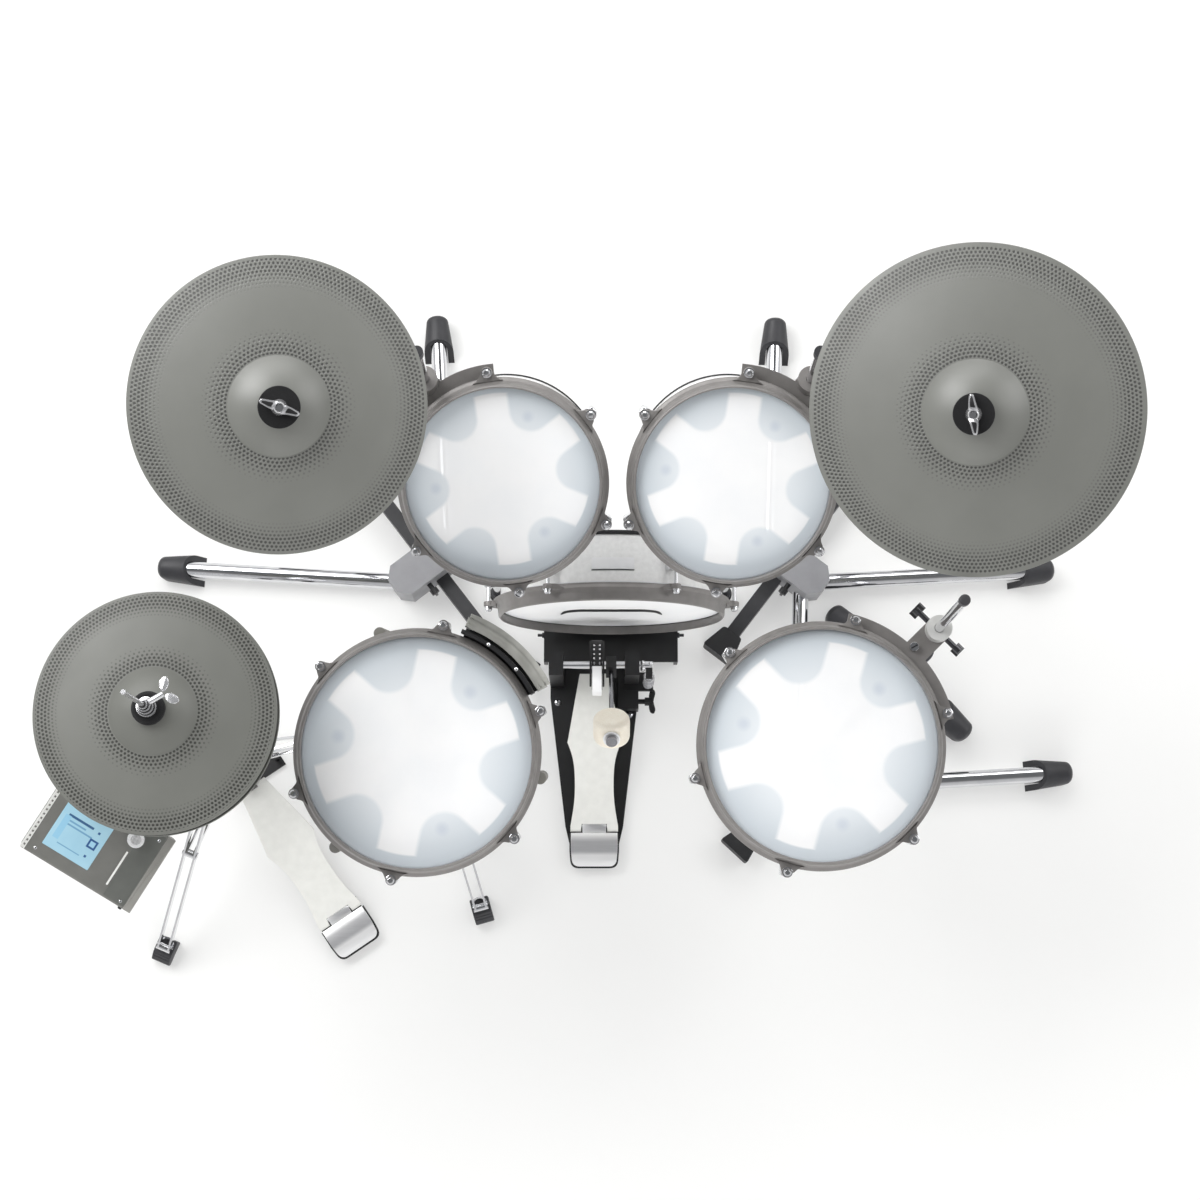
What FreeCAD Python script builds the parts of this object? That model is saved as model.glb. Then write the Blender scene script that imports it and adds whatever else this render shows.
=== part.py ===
import FreeCAD, Part
import math
import os

V = FreeCAD.Vector
UP = V(0, 0, 1)
SIDE = V(1, 0, 0)

# An electronic drum kit in millimetres, +Z up, the player on the -Y side.
# The origin lies on the floor under the middle of the kit.

# Fits
RUN = 0.3          # gap between pieces that move or are put together by hand
SEAT = 0.1         # gap between a pressed or clamped piece and its bore

# Drums
SHELL_WALL = 7.0
HEAD_THICK = 1.0
FLESH_WIDTH = 6.0
FLESH_HEIGHT = 6.0
COLLAR = 12.0      # drop from the head to the top of its flesh ring
RIM_HEIGHT = 13.0  # hoop rim above the head
RIM_IN = 1.4       # how far the rim stands inside the shell's outer face
RIM_OUT = 3.0
FLARE_OUT = 11.0   # hoop flange beyond the shell
FLANGE = 3.0
LUG_COUNT = 6
LUG_OUT = 18.0     # tension rods beyond the shell
EAR_RADIUS = 7.5
EAR_BASE = 34.0
EAR_HEIGHT = 8.0
ROD_RADIUS = 2.9
SCREW_HEAD = 5.5
SCREW_HEIGHT = 7.0
LUG_WIDTH = 16.0
LUG_LENGTH = 28.0
LUG_TOP = 34.0     # lug casing below the head
LUG_DEPTH = 6.5    # lug casing beyond its tension rod
LUG_ROUND = 3.0
LUG_SINK = 2.0     # lug casing before it is cut to the shell's curve
RIM_BEVEL = 2.0
EAR_ROOT = 2.0     # ear's root beyond the rim
SENSOR_DROP = 26.0
SENSOR_THICK = 4.0
SENSOR_ARM = 0.93  # star opening in parts of the plate's radius
SENSOR_SLOT = 0.36
SENSOR_LOBE = 0.22 # rounded ends of the lobes between the star's arms
PLATE_TOP = 24.0   # drum bracket below the head
PLATE_THICK = 6.0
PLATE_IN = 5.0
PLATE_OUT = 27.0
EYE_RADIUS = 17.0
EYE_HEIGHT = 44.0
TONGUE_OVERLAP = 4.0   # bracket tongue inside its plate
BOLT_RADIUS = 4.0      # wing bolts
BOLT_BOSS = 6.5
BOLT_STEM = 10.0
LONG_STEM = 14.0

RACK_SHELL = 127.0
RACK_DEPTH = 150.0
RACK_TILT = 20.0
RACK_REACH = 36.0  # bracket eye beyond the shell
FLOOR_SHELL = 152.4
FLOOR_DEPTH = 165.0
FLOOR_TILT = 4.0
FLOOR_REACH = 66.0
SNARE_SHELL = 152.4
SNARE_DEPTH = 130.0
SNARE_TILT = 6.5
KICK_SHELL = 165.1
KICK_DEPTH = 88.0

LEFT_TOM_AT = V(-122, 87, 730)
RIGHT_TOM_AT = V(176, 87, 730)
FLOOR_TOM_AT = V(293, -246, 660)
SNARE_AT = V(-236, -253, 640)
KICK_AT = V(21, 1, 235)
LEFT_TOM_LUG = 38.0    # turn of the first lug
RIGHT_TOM_LUG = 22.0
FLOOR_TOM_LUG = 14.4
SNARE_LUG = 18.5
KICK_LUG = 0.0
LEFT_TOM_EYE = 128.0   # turn of the bracket eye
RIGHT_TOM_EYE = 52.0
FLOOR_TOM_EYE = 44.4

# Snare guard and basket
GUARD_FROM = 27.0
GUARD_TO = 70.0
GUARD_BAND = 14.0
GUARD_WALL = 24.0
GUARD_WIDTH = 20.0
GUARD_TOP = 34.0
GUARD_BOTTOM = 58.0
BASKET_TURNS = (-12.0, 108.0, 229.0)
BASKET_HUB = 24.0
BASKET_ARM = 14.0
BASKET_POST = 12.5
GRIP_RADIUS = 8.0
PAD_HEIGHT = 8.0
PAD_IN = 6.0
PAD_OUT = 3.0
GRIP_CAP = 4.0
POST_SLIM = 5.0    # radius of the basket's uprights
TILT_EYE = 9.0
TILT_PIN = 4.0
TILT_NECK = 5.0
FORK_DROP = 21.6   # fork's base below the tilt pin
FORK_BASE = 15.3
FORK_FLANGE = 8.0
PIN_PAST = 5.0
CHEEK = 6.0

# Low stands: a dark bar with a rubber end, a cross tube and two chrome tubes
BAR_WIDTH = 22.0
BAR_TOP = 40.0
BAR_BOTTOM = 8.0
BAR_END = 18.0     # length of bar inside its rubber end
BAR_PAST = 6.0     # bar past its cross tube
TEE_REACH = 35.0
TEE_SPAN = 293.0
TUBE_RADIUS = 12.7
TUBE_WALL = 1.8
TUBE_LEVEL = 23.0
HUB_ALONG = 182.0
HUB_LENGTH = 56.0
HUB_OUT = 72.0
HUB_IN = 44.0
HUB_TOP = 80.0
HUB_BOTTOM = 3.0
HUB_TUBE = 47.0
HUB_REAR = 27.0
HUB_CHAMFER = 16.0
HUB_SHIFT = 8.0    # rear tube nearer the foot than the hub's middle
HUB_SCREW_IN = 24.0
HUB_SCREW_DOWN = 22.0
BOOT_LENGTH = 72.0
BOOT_HOLD = 50.0
BOOT_WIDE = 47.0
BOOT_NARROW = 32.0
BOOT_HEIGHT = 42.0
BOOT_CUT = 20.0
BOOT_NOSE = 6.0
BOOT_ROUND = 5.0
FOOT_LENGTH = 42.0
FOOT_WIDE = 54.0
FOOT_NARROW = 34.0
FOOT_HEIGHT = 46.0
COLLAR_RADIUS = 20.0
COLLAR_HEIGHT = 36.0

LEFT_STAND = {
    "foot": V(-151, -38, 0), "column": V(-369, 247, 0), "out": -1,
    "side": V(-695, 102, 0), "rear": V(-258, 512, 0), "top": 908.0,
}
RIGHT_STAND = {
    "foot": V(187, -38, 0), "column": V(405, 247, 0), "out": 1,
    "side": V(722, 98, 0), "rear": V(286, 509, 0), "top": 848.0,
}
FLOOR_STAND = {
    "foot": V(211, -346, 0), "out": 1,
    "side": V(741, -223, 0), "rear": V(321, 66, 0), "top": 430.0,
}

# Tom arms on the columns
ARM_RADIUS = 6.35
ARM_LEVEL = 690.0
ARM_TOP = 890.0
ARM_BEND = 16.0
ARM_PAST = 34.0
ARM_ASIDE = 23.0   # arm from the column's axis
CLAMP_HEIGHT = 36.0
CLAMP_WALL = 7.0
CAP_HEIGHT = 14.0
CAP_WALL = 1.5
FLOOR_ROD_TOP = 880.0
FLOOR_ROD_SEAT = 30.0   # length of the floor tom's rod inside its cap

# Cymbals
CYMBAL_THICK = 4.0
CYMBAL_HOLE = 4.8
POST_RADIUS = 4.0
CRASH_RADIUS = 177.8
CRASH_BELL = 60.0
CRASH_BOW = 22.0
CRASH_DOME = 26.0
CRASH_AT = V(-379, 125, 1000)
CRASH_TILT = 17.6
CRASH_LEAN = -61.0   # turn of the side to which a cymbal leans
RIDE_RADIUS = 203.2
RIDE_BELL = 64.0
RIDE_BOW = 25.0
RIDE_DOME = 28.0
RIDE_AT = V(461, 133, 940)
RIDE_TILT = 20.0
RIDE_LEAN = -124.0
FELT_RADIUS = 25.0
FELT_HEIGHT = 13.0
FELT_NECK = 4.4    # felts are conical so that the cymbal can rock
FELT_CONE = 8.0
FELT_GAP = 0.9     # cymbal to felt, for rocking
SEAT_RADIUS = 20.0
SEAT_HEIGHT = 6.0
TILTER_RADIUS = 11.0
TILTER_DROP = 40.0
TILTER_HALF = 14.0
FLANGE_RADIUS = 16.0
FLANGE_HEIGHT = 4.0
POST_PAST = 14.0
BOOM_RADIUS = 6.35
NUT_RADIUS = 8.0
NUT_HEIGHT = 12.0
WING_LENGTH = 22.0
WING_HEIGHT = 11.0
WING_THICK = 4.0
WING_ROUND = 1.5
CRASH_NUT_TURN = -16.0
RIDE_NUT_TURN = 94.0

# Hi-hat
HAT_AT = V(-550, -220, 0)
HAT_RADIUS = 152.4
HAT_BELL = 55.0
HAT_BOW = 16.0
HAT_DOME = 24.0
HAT_TOP = 805.0     # edge of the top cymbal with the pedal up
HAT_OPEN = 19.0     # gap to the edge of the bottom cymbal
HAT_ROD = 3.0
HAT_ROD_TOP = 1015.0
HAT_TUBE = 14.3
HAT_TUBE_TOP = 520.0
HAT_UPPER = 11.1
HAT_OVERLAP = 60.0
HAT_BORE = 8.0
HAT_FOOT = 116.0    # underside of the stand tube
CLUTCH_RADIUS = 12.0
CLUTCH_HEIGHT = 34.0
CLUTCH_BOLT_TURN = 30.0
CUP_RADIUS = 21.0
CUP_HEIGHT = 14.0
CLUTCH_NUT = 9.0

# Tripods
LEG_BAR = 12.0
LEG_THICK = 3.0
LEG_SPREAD = 17.0
LEG_COLLAR = 22.0
COLLAR_TALL = 22.0
HAT_LEG_REACH = 297.0
HAT_LEG_TOP = 270.0
HAT_BRACE = 150.0
HAT_LEG_TURNS = (-113.0, 14.0, 127.0)
SNARE_LEG_REACH = 208.0
SNARE_LEG_TOP = 190.0
SNARE_BRACE = 85.0
SNARE_LEG_TURNS = (-74.4, 54.5, 172.0)
SNARE_TUBE = 12.7
SNARE_INNER = 9.5
SNARE_FOOT = 60.0
SNARE_SPLIT = 300.0
SNARE_OVERLAP = 60.0
BRACE_SHARE = 0.45
RUBBER_TALL = 30.0
SHOE_HALF = 14.5   # rubber shoes under the legs
SHOE_BACK = 15.0
SHOE_AHEAD = 24.0
SHOE_FLAT = 10.0   # where the shoe's top starts to slope
SHOE_TOE = 16.0

# Kick pedal and hi-hat pedal
PEDAL_X = -5.0
HINGE_Y = -306.0
HINGE_Z = 20.0
HINGE_RADIUS = 6.0
PIN_RADIUS = 2.5
AXLE_Y = -68.0
AXLE_Z = 130.0
AXLE_RADIUS = 6.0
POST_GAP = 47.0
POST_WIDTH = 22.0
POST_DEEP = 36.0
POST_TALL = 148.0
BASE_THICK = 6.0
BASE_HALF = 69.0
BASE_HEEL = 45.0
BASE_FRONT = -22.0
HEEL_LENGTH = 63.0
HEEL_HALF = 37.0
HEEL_THICK = 5.0
HEEL_ROUND = 14.0
HEEL_SOLID = 16.0  # solid end of the heel plate
HEEL_GAP = 2.0
HEEL_HOLD = 4.0    # heel tongue inside its plate
HEEL_PAST = 4.0    # heel plate past the base
HEEL_SIDE = 6.0
TONGUE_HALF = 20.0
BOARD_THICK = 5.0
BOARD_TOE = 22.5
BOARD_WIDE = 41.5
BOARD_HEEL = 37.0
BOARD_REST = 13.0
BOARD_WAIST = ((7.0, 0.26), (5.5, 0.40))   # side drawn in, at a share of the length
BOARD_SHOULDER = 0.55                      # widest place, as a share of the length
KICK_BOARD = 238.0
KICK_TONGUE = 50.0  # steel tongue past the board's toe
TONGUE_WIDTH = 18.0
HAT_BOARD = 240.0
HAT_HINGE = 266.5   # hi-hat hinge line from the stand's axis
HAT_PEDAL_TURN = -56.0
YOKE_HALF = 7.0
YOKE_TALL = 16.0
YOKE_REST = 0.7    # yoke above the toe
BOARD_SIDE = 10.0  # floor plate beyond the frame's sides
FRAME_BEAM = 10.0
FRAME_TAIL = 8.0
FRAME_DEEP = 24.0
FRAME_STRIP = 14.0
CAM_RADIUS = 38.0
CAM_WIDTH = 16.0
CAM_X = 4.4
CHAIN_THICK = 4.0
CHAIN_WIDTH = 14.0
CHAIN_WRAP = 110.0
CHAIN_REST = 1.0   # strap's end above the tongue
BEATER_X = 26.0
BEATER_HUB = 20.0
HUB_SLIM = 16.0
BEATER_LEAN = 42.0
BEATER_REACH = 165.0
SHAFT_RADIUS = 3.5
FELT_BEATER = 27.0
FELT_LONG = 44.0
FELT_ROUND = 6.0
SHAFT_SINK = 2.0   # shaft's start from the axle
SHAFT_PAST = 4.0
SHAFT_CAP = 8.4
SHAFT_CAP_TALL = 5.0
SPRING_X = 84.0
SPRING_Y = -86.0
SPRING_COIL = 8.0
SPRING_WIRE = 0.9
SPRING_LOW = 46.0
SPRING_TURNS = 14
SPRING_ARM = 10.0
LEVER_HALF = 4.0
SPRING_SHELF = 10.0
SHELF_PAST = 3.0
ADJUSTER_IN = 37.0     # black tension block before the right post
ADJUSTER_FRONT = -125.0
ADJUSTER_TALL = 44.0
ADJUSTER_BOLT = V(0, -112, 28)

# Kick drum's floor frame
FRAME_HALF = 105.0
FRAME_SHEET = 6.0
FRAME_TOP = 34.0
FRAME_BACK = 80.0
SPUR_TURN = 16.0
SPUR_OUT = 20.0
SPUR_RADIUS = 6.0
SPUR_FOOT = 30.0
SPUR_PAST = 18.0
SPUR_SEAT = 8.0    # spur's end inside its foot
SPUR_RUBBER = 14.0
LUMP_PAST = 6.0
LUMP_HALF = 12.0
LUMP_FROM = 12.0   # spur bracket from the drum's back edge
LUMP_LONG = 30.0
SADDLE_AT = 50.0
SADDLE_WIDE = 14.0
SADDLE_DEEP = 36.0
SADDLE_SINK = 1.0

# Sound module
MODULE_AT = V(-652, -370, 630)
MODULE_TURN = -31.7
MODULE_TILT = 15.0
MODULE_LONG = 166.0
MODULE_WIDE = 110.0
MODULE_THICK = 44.0
MODULE_ROUND = 4.0
SCREEN_LONG = 68.6
SCREEN_TALL = 75.0
SCREEN_ALONG = -27.3
SCREEN_ASIDE = 1.0
SCREEN_DEEP = 2.0
KNOB_RADIUS = 11.0
KNOB_HEIGHT = 9.0
KNOB_ALONG = 37.5
KNOB_ASIDE = 30.0
KNOB_STEM = 3.0
KNOB_ROUND = 1.5
MOUNT_LEVEL = 570.0
MOUNT_PLATE = 60.0
MOUNT_SHEET = 5.0
MOUNT_STEM = 8.35


def along(start, end, radius):
    return Part.makeCylinder(radius, (end - start).Length, start, end - start)


def hollow(start, end, radius, bore):
    return along(start, end, radius).cut(along(start, end, bore))


def block(x0, x1, y0, y1, z0, z1):
    return Part.makeBox(x1 - x0, y1 - y0, z1 - z0, V(x0, y0, z0))


def ring(outer, inner, z0, z1):
    return hollow(V(0, 0, z0), V(0, 0, z1), outer, inner)


def turned(points):
    outline = Part.makePolygon([V(r, 0, z) for r, z in points + points[:1]])
    return Part.Face(outline).revolve(V(0, 0, 0), UP, 360)


def slab(points, z0, z1):
    outline = Part.makePolygon([V(x, y, z0) for x, y in points + points[:1]])
    return Part.Face(outline).extrude(V(0, 0, z1 - z0))


def sector(outer, inner, z0, z1, start, sweep):
    wedge = Part.makeCylinder(outer, z1 - z0, V(0, 0, z0), UP, sweep)
    wedge = wedge.cut(Part.makeCylinder(inner, z1 - z0, V(0, 0, z0)))
    return turn(wedge, start)


def turn(shape, angle):
    copy = shape.copy()
    copy.rotate(V(0, 0, 0), UP, angle)
    return copy


def put(shape, pose):
    copy = shape.copy()
    copy.Placement = pose.multiply(copy.Placement)
    return copy


def pose(at, axis=UP, angle=0.0):
    return FreeCAD.Placement(at, FreeCAD.Rotation(axis, angle))


def polar(radius, angle, z=0.0):
    return V(radius * math.cos(math.radians(angle)), radius * math.sin(math.radians(angle)), z)


def level(point, z):
    return V(point.x, point.y, z)


def unit(vector):
    return V(vector).normalize()


def fused(shapes):
    return shapes[0].multiFuse(shapes[1:]).removeSplitter()


def solids_of(shapes):
    found = []
    for shape in shapes:
        found.extend(shape.Solids)
    return found


NODES = {}


def node(name, *shapes):
    NODES.setdefault(name, []).extend(solids_of(shapes))


# A drum is built round its own axis, with z = 0 on the playing face.
def drum_shell(radius, depth):
    return ring(radius, radius - SHELL_WALL, -depth, -HEAD_THICK)


def drum_head(radius):
    inner = radius + RUN
    skirt = inner + HEAD_THICK
    flesh = inner + FLESH_WIDTH
    return turned([
        (0, -HEAD_THICK), (inner, -HEAD_THICK), (inner, -COLLAR - FLESH_HEIGHT),
        (flesh, -COLLAR - FLESH_HEIGHT), (flesh, -COLLAR), (skirt, -COLLAR), (skirt, 0), (0, 0),
    ])


def drum_hoop(radius, first_lug):
    step = radius + RUN + HEAD_THICK + RUN
    low = -COLLAR
    inside = radius - RIM_IN
    outside = radius + RIM_OUT
    body = turned([
        (inside, RUN), (step, RUN), (step, low), (radius + FLARE_OUT, low),
        (radius + FLARE_OUT, low + FLANGE), (outside + RIM_BEVEL / 2, 0), (outside, RIM_HEIGHT - RIM_BEVEL),
        (outside - RIM_BEVEL, RIM_HEIGHT), (inside + RIM_BEVEL / 2, RIM_HEIGHT),
        (inside, RIM_HEIGHT - RIM_BEVEL),
    ])
    lug = radius + LUG_OUT
    root = outside + EAR_ROOT
    ear = slab([(root, -EAR_BASE / 2), (lug, -EAR_RADIUS), (lug, EAR_RADIUS), (root, EAR_BASE / 2)],
               low, low + EAR_HEIGHT)
    tip = Part.makeCylinder(EAR_RADIUS, EAR_HEIGHT, V(lug, 0, low))
    hole = Part.makeCylinder(ROD_RADIUS + RUN, EAR_HEIGHT, V(lug, 0, low))
    ears = []
    holes = []
    for index in range(LUG_COUNT):
        angle = first_lug + index * 360.0 / LUG_COUNT
        ears.append(turn(ear.fuse(tip), angle))
        holes.append(turn(hole, angle))
    return fused([body] + ears).cut(Part.makeCompound(holes))


def drum_lugs(radius, first_lug):
    lug = radius + LUG_OUT
    low = -LUG_TOP - LUG_LENGTH
    casing = block(radius - LUG_SINK, lug + LUG_DEPTH, -LUG_WIDTH / 2, LUG_WIDTH / 2, low, -LUG_TOP)
    outer_edges = []
    for edge in casing.Edges:
        if edge.CenterOfMass.x > lug:
            outer_edges.append(edge)
    casing = casing.makeFillet(LUG_ROUND, outer_edges)
    casing = casing.cut(Part.makeCylinder(radius + SEAT, LUG_LENGTH, V(0, 0, low)))
    thread = low + LUG_LENGTH / 3
    casing = casing.cut(along(V(lug, 0, thread), V(lug, 0, -LUG_TOP), ROD_RADIUS + SEAT))
    seat = -COLLAR + EAR_HEIGHT
    rod = along(V(lug, 0, thread), V(lug, 0, seat), ROD_RADIUS)
    screw = Part.makeCylinder(SCREW_HEAD, SCREW_HEIGHT, V(lug, 0, seat)).fuse(rod).removeSplitter()
    pieces = []
    for index in range(LUG_COUNT):
        angle = first_lug + index * 360.0 / LUG_COUNT
        pieces.append(turn(casing, angle))
        pieces.append(turn(screw, angle))
    return pieces


# The plate's star opening has an arm at each lug and a round-ended lobe between two arms.
def sensor_plate(radius, first_lug):
    inner = radius - SHELL_WALL - RUN
    low = -SENSOR_DROP - SENSOR_THICK
    slant = math.radians(180.0 / LUG_COUNT)
    nose = inner * SENSOR_LOBE
    centre = (inner * SENSOR_SLOT / 2 + nose) / math.sin(slant)
    touch = centre - nose * math.sin(slant)
    narrow = nose * math.cos(slant)
    wide = narrow + (inner - touch) * math.tan(slant)
    lobe = slab([(touch, -narrow), (inner, -wide), (inner, wide), (touch, narrow)], low, low + SENSOR_THICK)
    lobe = lobe.fuse(Part.makeCylinder(nose, SENSOR_THICK, V(centre, 0, low)))
    star = Part.makeCylinder(inner * SENSOR_ARM, SENSOR_THICK, V(0, 0, low))
    for index in range(LUG_COUNT):
        star = star.cut(turn(lobe, first_lug + (index + 0.5) * 360.0 / LUG_COUNT))
    return Part.makeCylinder(inner, SENSOR_THICK, V(0, 0, low)).cut(star)


def drum(name, radius, depth, first_lug, drum_pose):
    node(name + "_shell", put(drum_shell(radius, depth), drum_pose))
    node(name + "_head", put(drum_head(radius), drum_pose))
    node(name + "_hoop", put(drum_hoop(radius, first_lug), drum_pose))
    for piece in drum_lugs(radius, first_lug):
        node(name + "_lugs", put(piece, drum_pose))


def eye_place(radius, reach, angle, drum_pose):
    return drum_pose.multVec(polar(radius + reach, angle, -PLATE_TOP - PLATE_THICK / 2))


# The bracket hangs on two tension rods and carries an upright eye for its rod.
def drum_bracket(radius, reach, angle, drum_pose, rod_radius):
    spread = math.degrees(EAR_BASE / 2 / (radius + LUG_OUT))
    low = -PLATE_TOP - PLATE_THICK
    start = angle - 180.0 / LUG_COUNT - spread / 2
    sweep = 360.0 / LUG_COUNT + spread
    plate = sector(radius + PLATE_OUT, radius + PLATE_IN, low, -PLATE_TOP, start, sweep)
    tongue = block(radius + PLATE_IN + TONGUE_OVERLAP, radius + reach, -EYE_RADIUS, EYE_RADIUS,
                   low, -PLATE_TOP)
    plate = plate.fuse(turn(tongue, angle))
    for side in (-1, 1):
        hole = Part.makeCylinder(ROD_RADIUS + RUN, PLATE_THICK, V(radius + LUG_OUT, 0, low))
        plate = plate.cut(turn(hole, angle + side * 180.0 / LUG_COUNT))
    eye = eye_place(radius, reach, angle, drum_pose)
    top = eye + UP * (EYE_HEIGHT / 2)
    bottom = eye - UP * (EYE_HEIGHT / 2)
    bracket = fused([put(plate, drum_pose), along(bottom, top, EYE_RADIUS)])
    return bracket.cut(along(bottom, top, rod_radius + RUN))


# A wing bolt with its head at the end of a short stem.
def wing_bolt(at, direction, stem):
    bolt = Part.makeCylinder(BOLT_RADIUS, stem, V(0, 0, 0))
    long = WING_LENGTH / 2
    wing = block(-long, long, -WING_THICK / 2, WING_THICK / 2, stem, stem + WING_HEIGHT)
    boss = Part.makeCylinder(BOLT_BOSS, WING_HEIGHT * 0.8, V(0, 0, stem))
    bolt = fused([bolt, boss, wing])
    return put(bolt, FreeCAD.Placement(at, FreeCAD.Rotation(UP, direction)))


left_tom_pose = pose(LEFT_TOM_AT, SIDE, RACK_TILT)
right_tom_pose = pose(RIGHT_TOM_AT, SIDE, RACK_TILT)
floor_tom_pose = pose(FLOOR_TOM_AT, SIDE, FLOOR_TILT)
snare_pose = pose(SNARE_AT, SIDE, SNARE_TILT)
kick_pose = pose(KICK_AT, SIDE, 90.0)

drum("left_tom", RACK_SHELL, RACK_DEPTH, LEFT_TOM_LUG, left_tom_pose)
drum("right_tom", RACK_SHELL, RACK_DEPTH, RIGHT_TOM_LUG, right_tom_pose)
drum("floor_tom", FLOOR_SHELL, FLOOR_DEPTH, FLOOR_TOM_LUG, floor_tom_pose)
drum("snare", SNARE_SHELL, SNARE_DEPTH, SNARE_LUG, snare_pose)
drum("kick", KICK_SHELL, KICK_DEPTH, KICK_LUG, kick_pose)
node("left_tom_sensor_plate", put(sensor_plate(RACK_SHELL, LEFT_TOM_LUG), left_tom_pose))
node("right_tom_sensor_plate", put(sensor_plate(RACK_SHELL, RIGHT_TOM_LUG), right_tom_pose))
node("floor_tom_sensor_plate", put(sensor_plate(FLOOR_SHELL, FLOOR_TOM_LUG), floor_tom_pose))
node("snare_sensor_plate", put(sensor_plate(SNARE_SHELL, SNARE_LUG), snare_pose))

left_eye = eye_place(RACK_SHELL, RACK_REACH, LEFT_TOM_EYE, left_tom_pose)
right_eye = eye_place(RACK_SHELL, RACK_REACH, RIGHT_TOM_EYE, right_tom_pose)
floor_eye = eye_place(FLOOR_SHELL, FLOOR_REACH, FLOOR_TOM_EYE, floor_tom_pose)
FLOOR_STAND["column"] = level(floor_eye, 0)

node("left_tom_bracket",
     drum_bracket(RACK_SHELL, RACK_REACH, LEFT_TOM_EYE, left_tom_pose, ARM_RADIUS))
node("right_tom_bracket",
     drum_bracket(RACK_SHELL, RACK_REACH, RIGHT_TOM_EYE, right_tom_pose, ARM_RADIUS))
node("floor_tom_bracket",
     drum_bracket(FLOOR_SHELL, FLOOR_REACH, FLOOR_TOM_EYE, floor_tom_pose, ARM_RADIUS))


# A bent rod: a level stretch, a rounded corner and an upright stretch.
def bent_rod(start, corner, top, radius, bend):
    flat = unit(corner - start)
    rise = unit(top - corner)
    first = corner - flat * bend
    last = corner + rise * bend
    centre = first + rise * bend
    middle = centre + unit(corner - centre) * bend
    path = Part.Wire([
        Part.LineSegment(start, first).toShape(),
        Part.Arc(first, middle, last).toShape(),
        Part.LineSegment(last, top).toShape(),
    ])
    profile = Part.Wire(Part.makeCircle(radius, start, flat))
    return path.makePipeShell([profile], True, False)


# A rack tom's arm lies beside its column and turns up through the drum's eye.
def tom_arm(stand, eye):
    column = level(stand["column"], ARM_LEVEL)
    corner = level(eye, ARM_LEVEL)
    straight = unit(corner - column)
    aside = V(-straight.y, straight.x, 0)
    if aside.y > 0:
        aside = aside * -1
    beside = column + aside * ARM_ASIDE
    return beside, unit(corner - beside), corner


def place_tom_arm(name, stand, eye, centre):
    beside, flat, corner = tom_arm(stand, eye)
    top = level(eye, ARM_TOP)
    start = beside - flat * ARM_PAST
    node(name + "_bracket", bent_rod(start, corner, top, ARM_RADIUS, ARM_BEND))
    node(name + "_bracket", along(top, top + UP * CAP_HEIGHT, ARM_RADIUS + CAP_WALL))
    outward = unit(level(eye, 0) - level(centre, 0))
    node(name + "_bracket", wing_bolt(eye + outward * (EYE_RADIUS + SEAT), outward, BOLT_STEM))
    reach = ARM_ASIDE + ARM_RADIUS + CLAMP_WALL
    half = TUBE_RADIUS + CLAMP_WALL
    jaw = block(-half, reach, -half, half, -CLAMP_HEIGHT / 2, CLAMP_HEIGHT / 2)
    column = level(stand["column"], ARM_LEVEL)
    aside = unit(beside - column)
    jaw = put(jaw, FreeCAD.Placement(column, FreeCAD.Rotation(SIDE, aside)))
    jaw = jaw.cut(along(level(column, BAR_TOP), level(column, stand["top"]), TUBE_RADIUS + SEAT))
    jaw = jaw.cut(along(start, corner, ARM_RADIUS + RUN))
    node("stand_clamps", jaw)
    node("wing_screws", wing_bolt(column - aside * half, aside * -1, BOLT_STEM))


place_tom_arm("left_tom", LEFT_STAND, left_eye, LEFT_TOM_AT)
place_tom_arm("right_tom", RIGHT_STAND, right_eye, RIGHT_TOM_AT)
floor_out = unit(level(floor_eye, 0) - level(FLOOR_TOM_AT, 0))
for tangent in (V(-floor_out.y, floor_out.x, 0), V(floor_out.y, -floor_out.x, 0)):
    node("floor_tom_bracket", wing_bolt(floor_eye + tangent * (EYE_RADIUS + SEAT), tangent, LONG_STEM))


# Rubber boot on a tube's end: open jaws, a bore and a rounded closed end.
def boot(tip, direction):
    back = BOOT_LENGTH
    narrow = BOOT_NARROW / 2
    wide = BOOT_WIDE / 2
    side = slab([(0, -narrow + BOOT_NOSE), (BOOT_NOSE, -narrow), (back, -wide), (back, wide),
                 (BOOT_NOSE, narrow), (0, narrow - BOOT_NOSE)], 0, BOOT_HEIGHT)
    rounded = []
    for edge in side.Edges:
        if edge.CenterOfMass.z > BOOT_HEIGHT - 1 and edge.CenterOfMass.x < back - 1:
            rounded.append(edge)
    side = side.makeFillet(BOOT_ROUND, rounded)
    bore = along(V(back - BOOT_HOLD, 0, TUBE_LEVEL), V(back, 0, TUBE_LEVEL), TUBE_RADIUS + SEAT)
    gap = block(back - BOOT_CUT, back, -TUBE_RADIUS - SEAT, TUBE_RADIUS + SEAT, TUBE_LEVEL, BOOT_HEIGHT)
    shaped = side.cut(bore).cut(gap)
    return put(shaped, FreeCAD.Placement(level(tip, 0), FreeCAD.Rotation(SIDE, level(direction, 0))))


stand_bores = []


def chrome_tube(start, end):
    stand_bores.append(along(start, end, TUBE_RADIUS + SEAT))
    return hollow(start, end, TUBE_RADIUS, TUBE_RADIUS - TUBE_WALL)


def booted_tube(start, tip):
    direction = unit(start - tip)
    end = tip + direction * (BOOT_LENGTH - BOOT_HOLD)
    node("stand_tubes", chrome_tube(level(start, TUBE_LEVEL), level(end, TUBE_LEVEL)))
    node("rubber_feet", boot(tip, direction))


def stand_pose(stand):
    bar = unit(stand["column"] - stand["foot"])
    return FreeCAD.Placement(stand["foot"], FreeCAD.Rotation(SIDE, bar))


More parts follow.
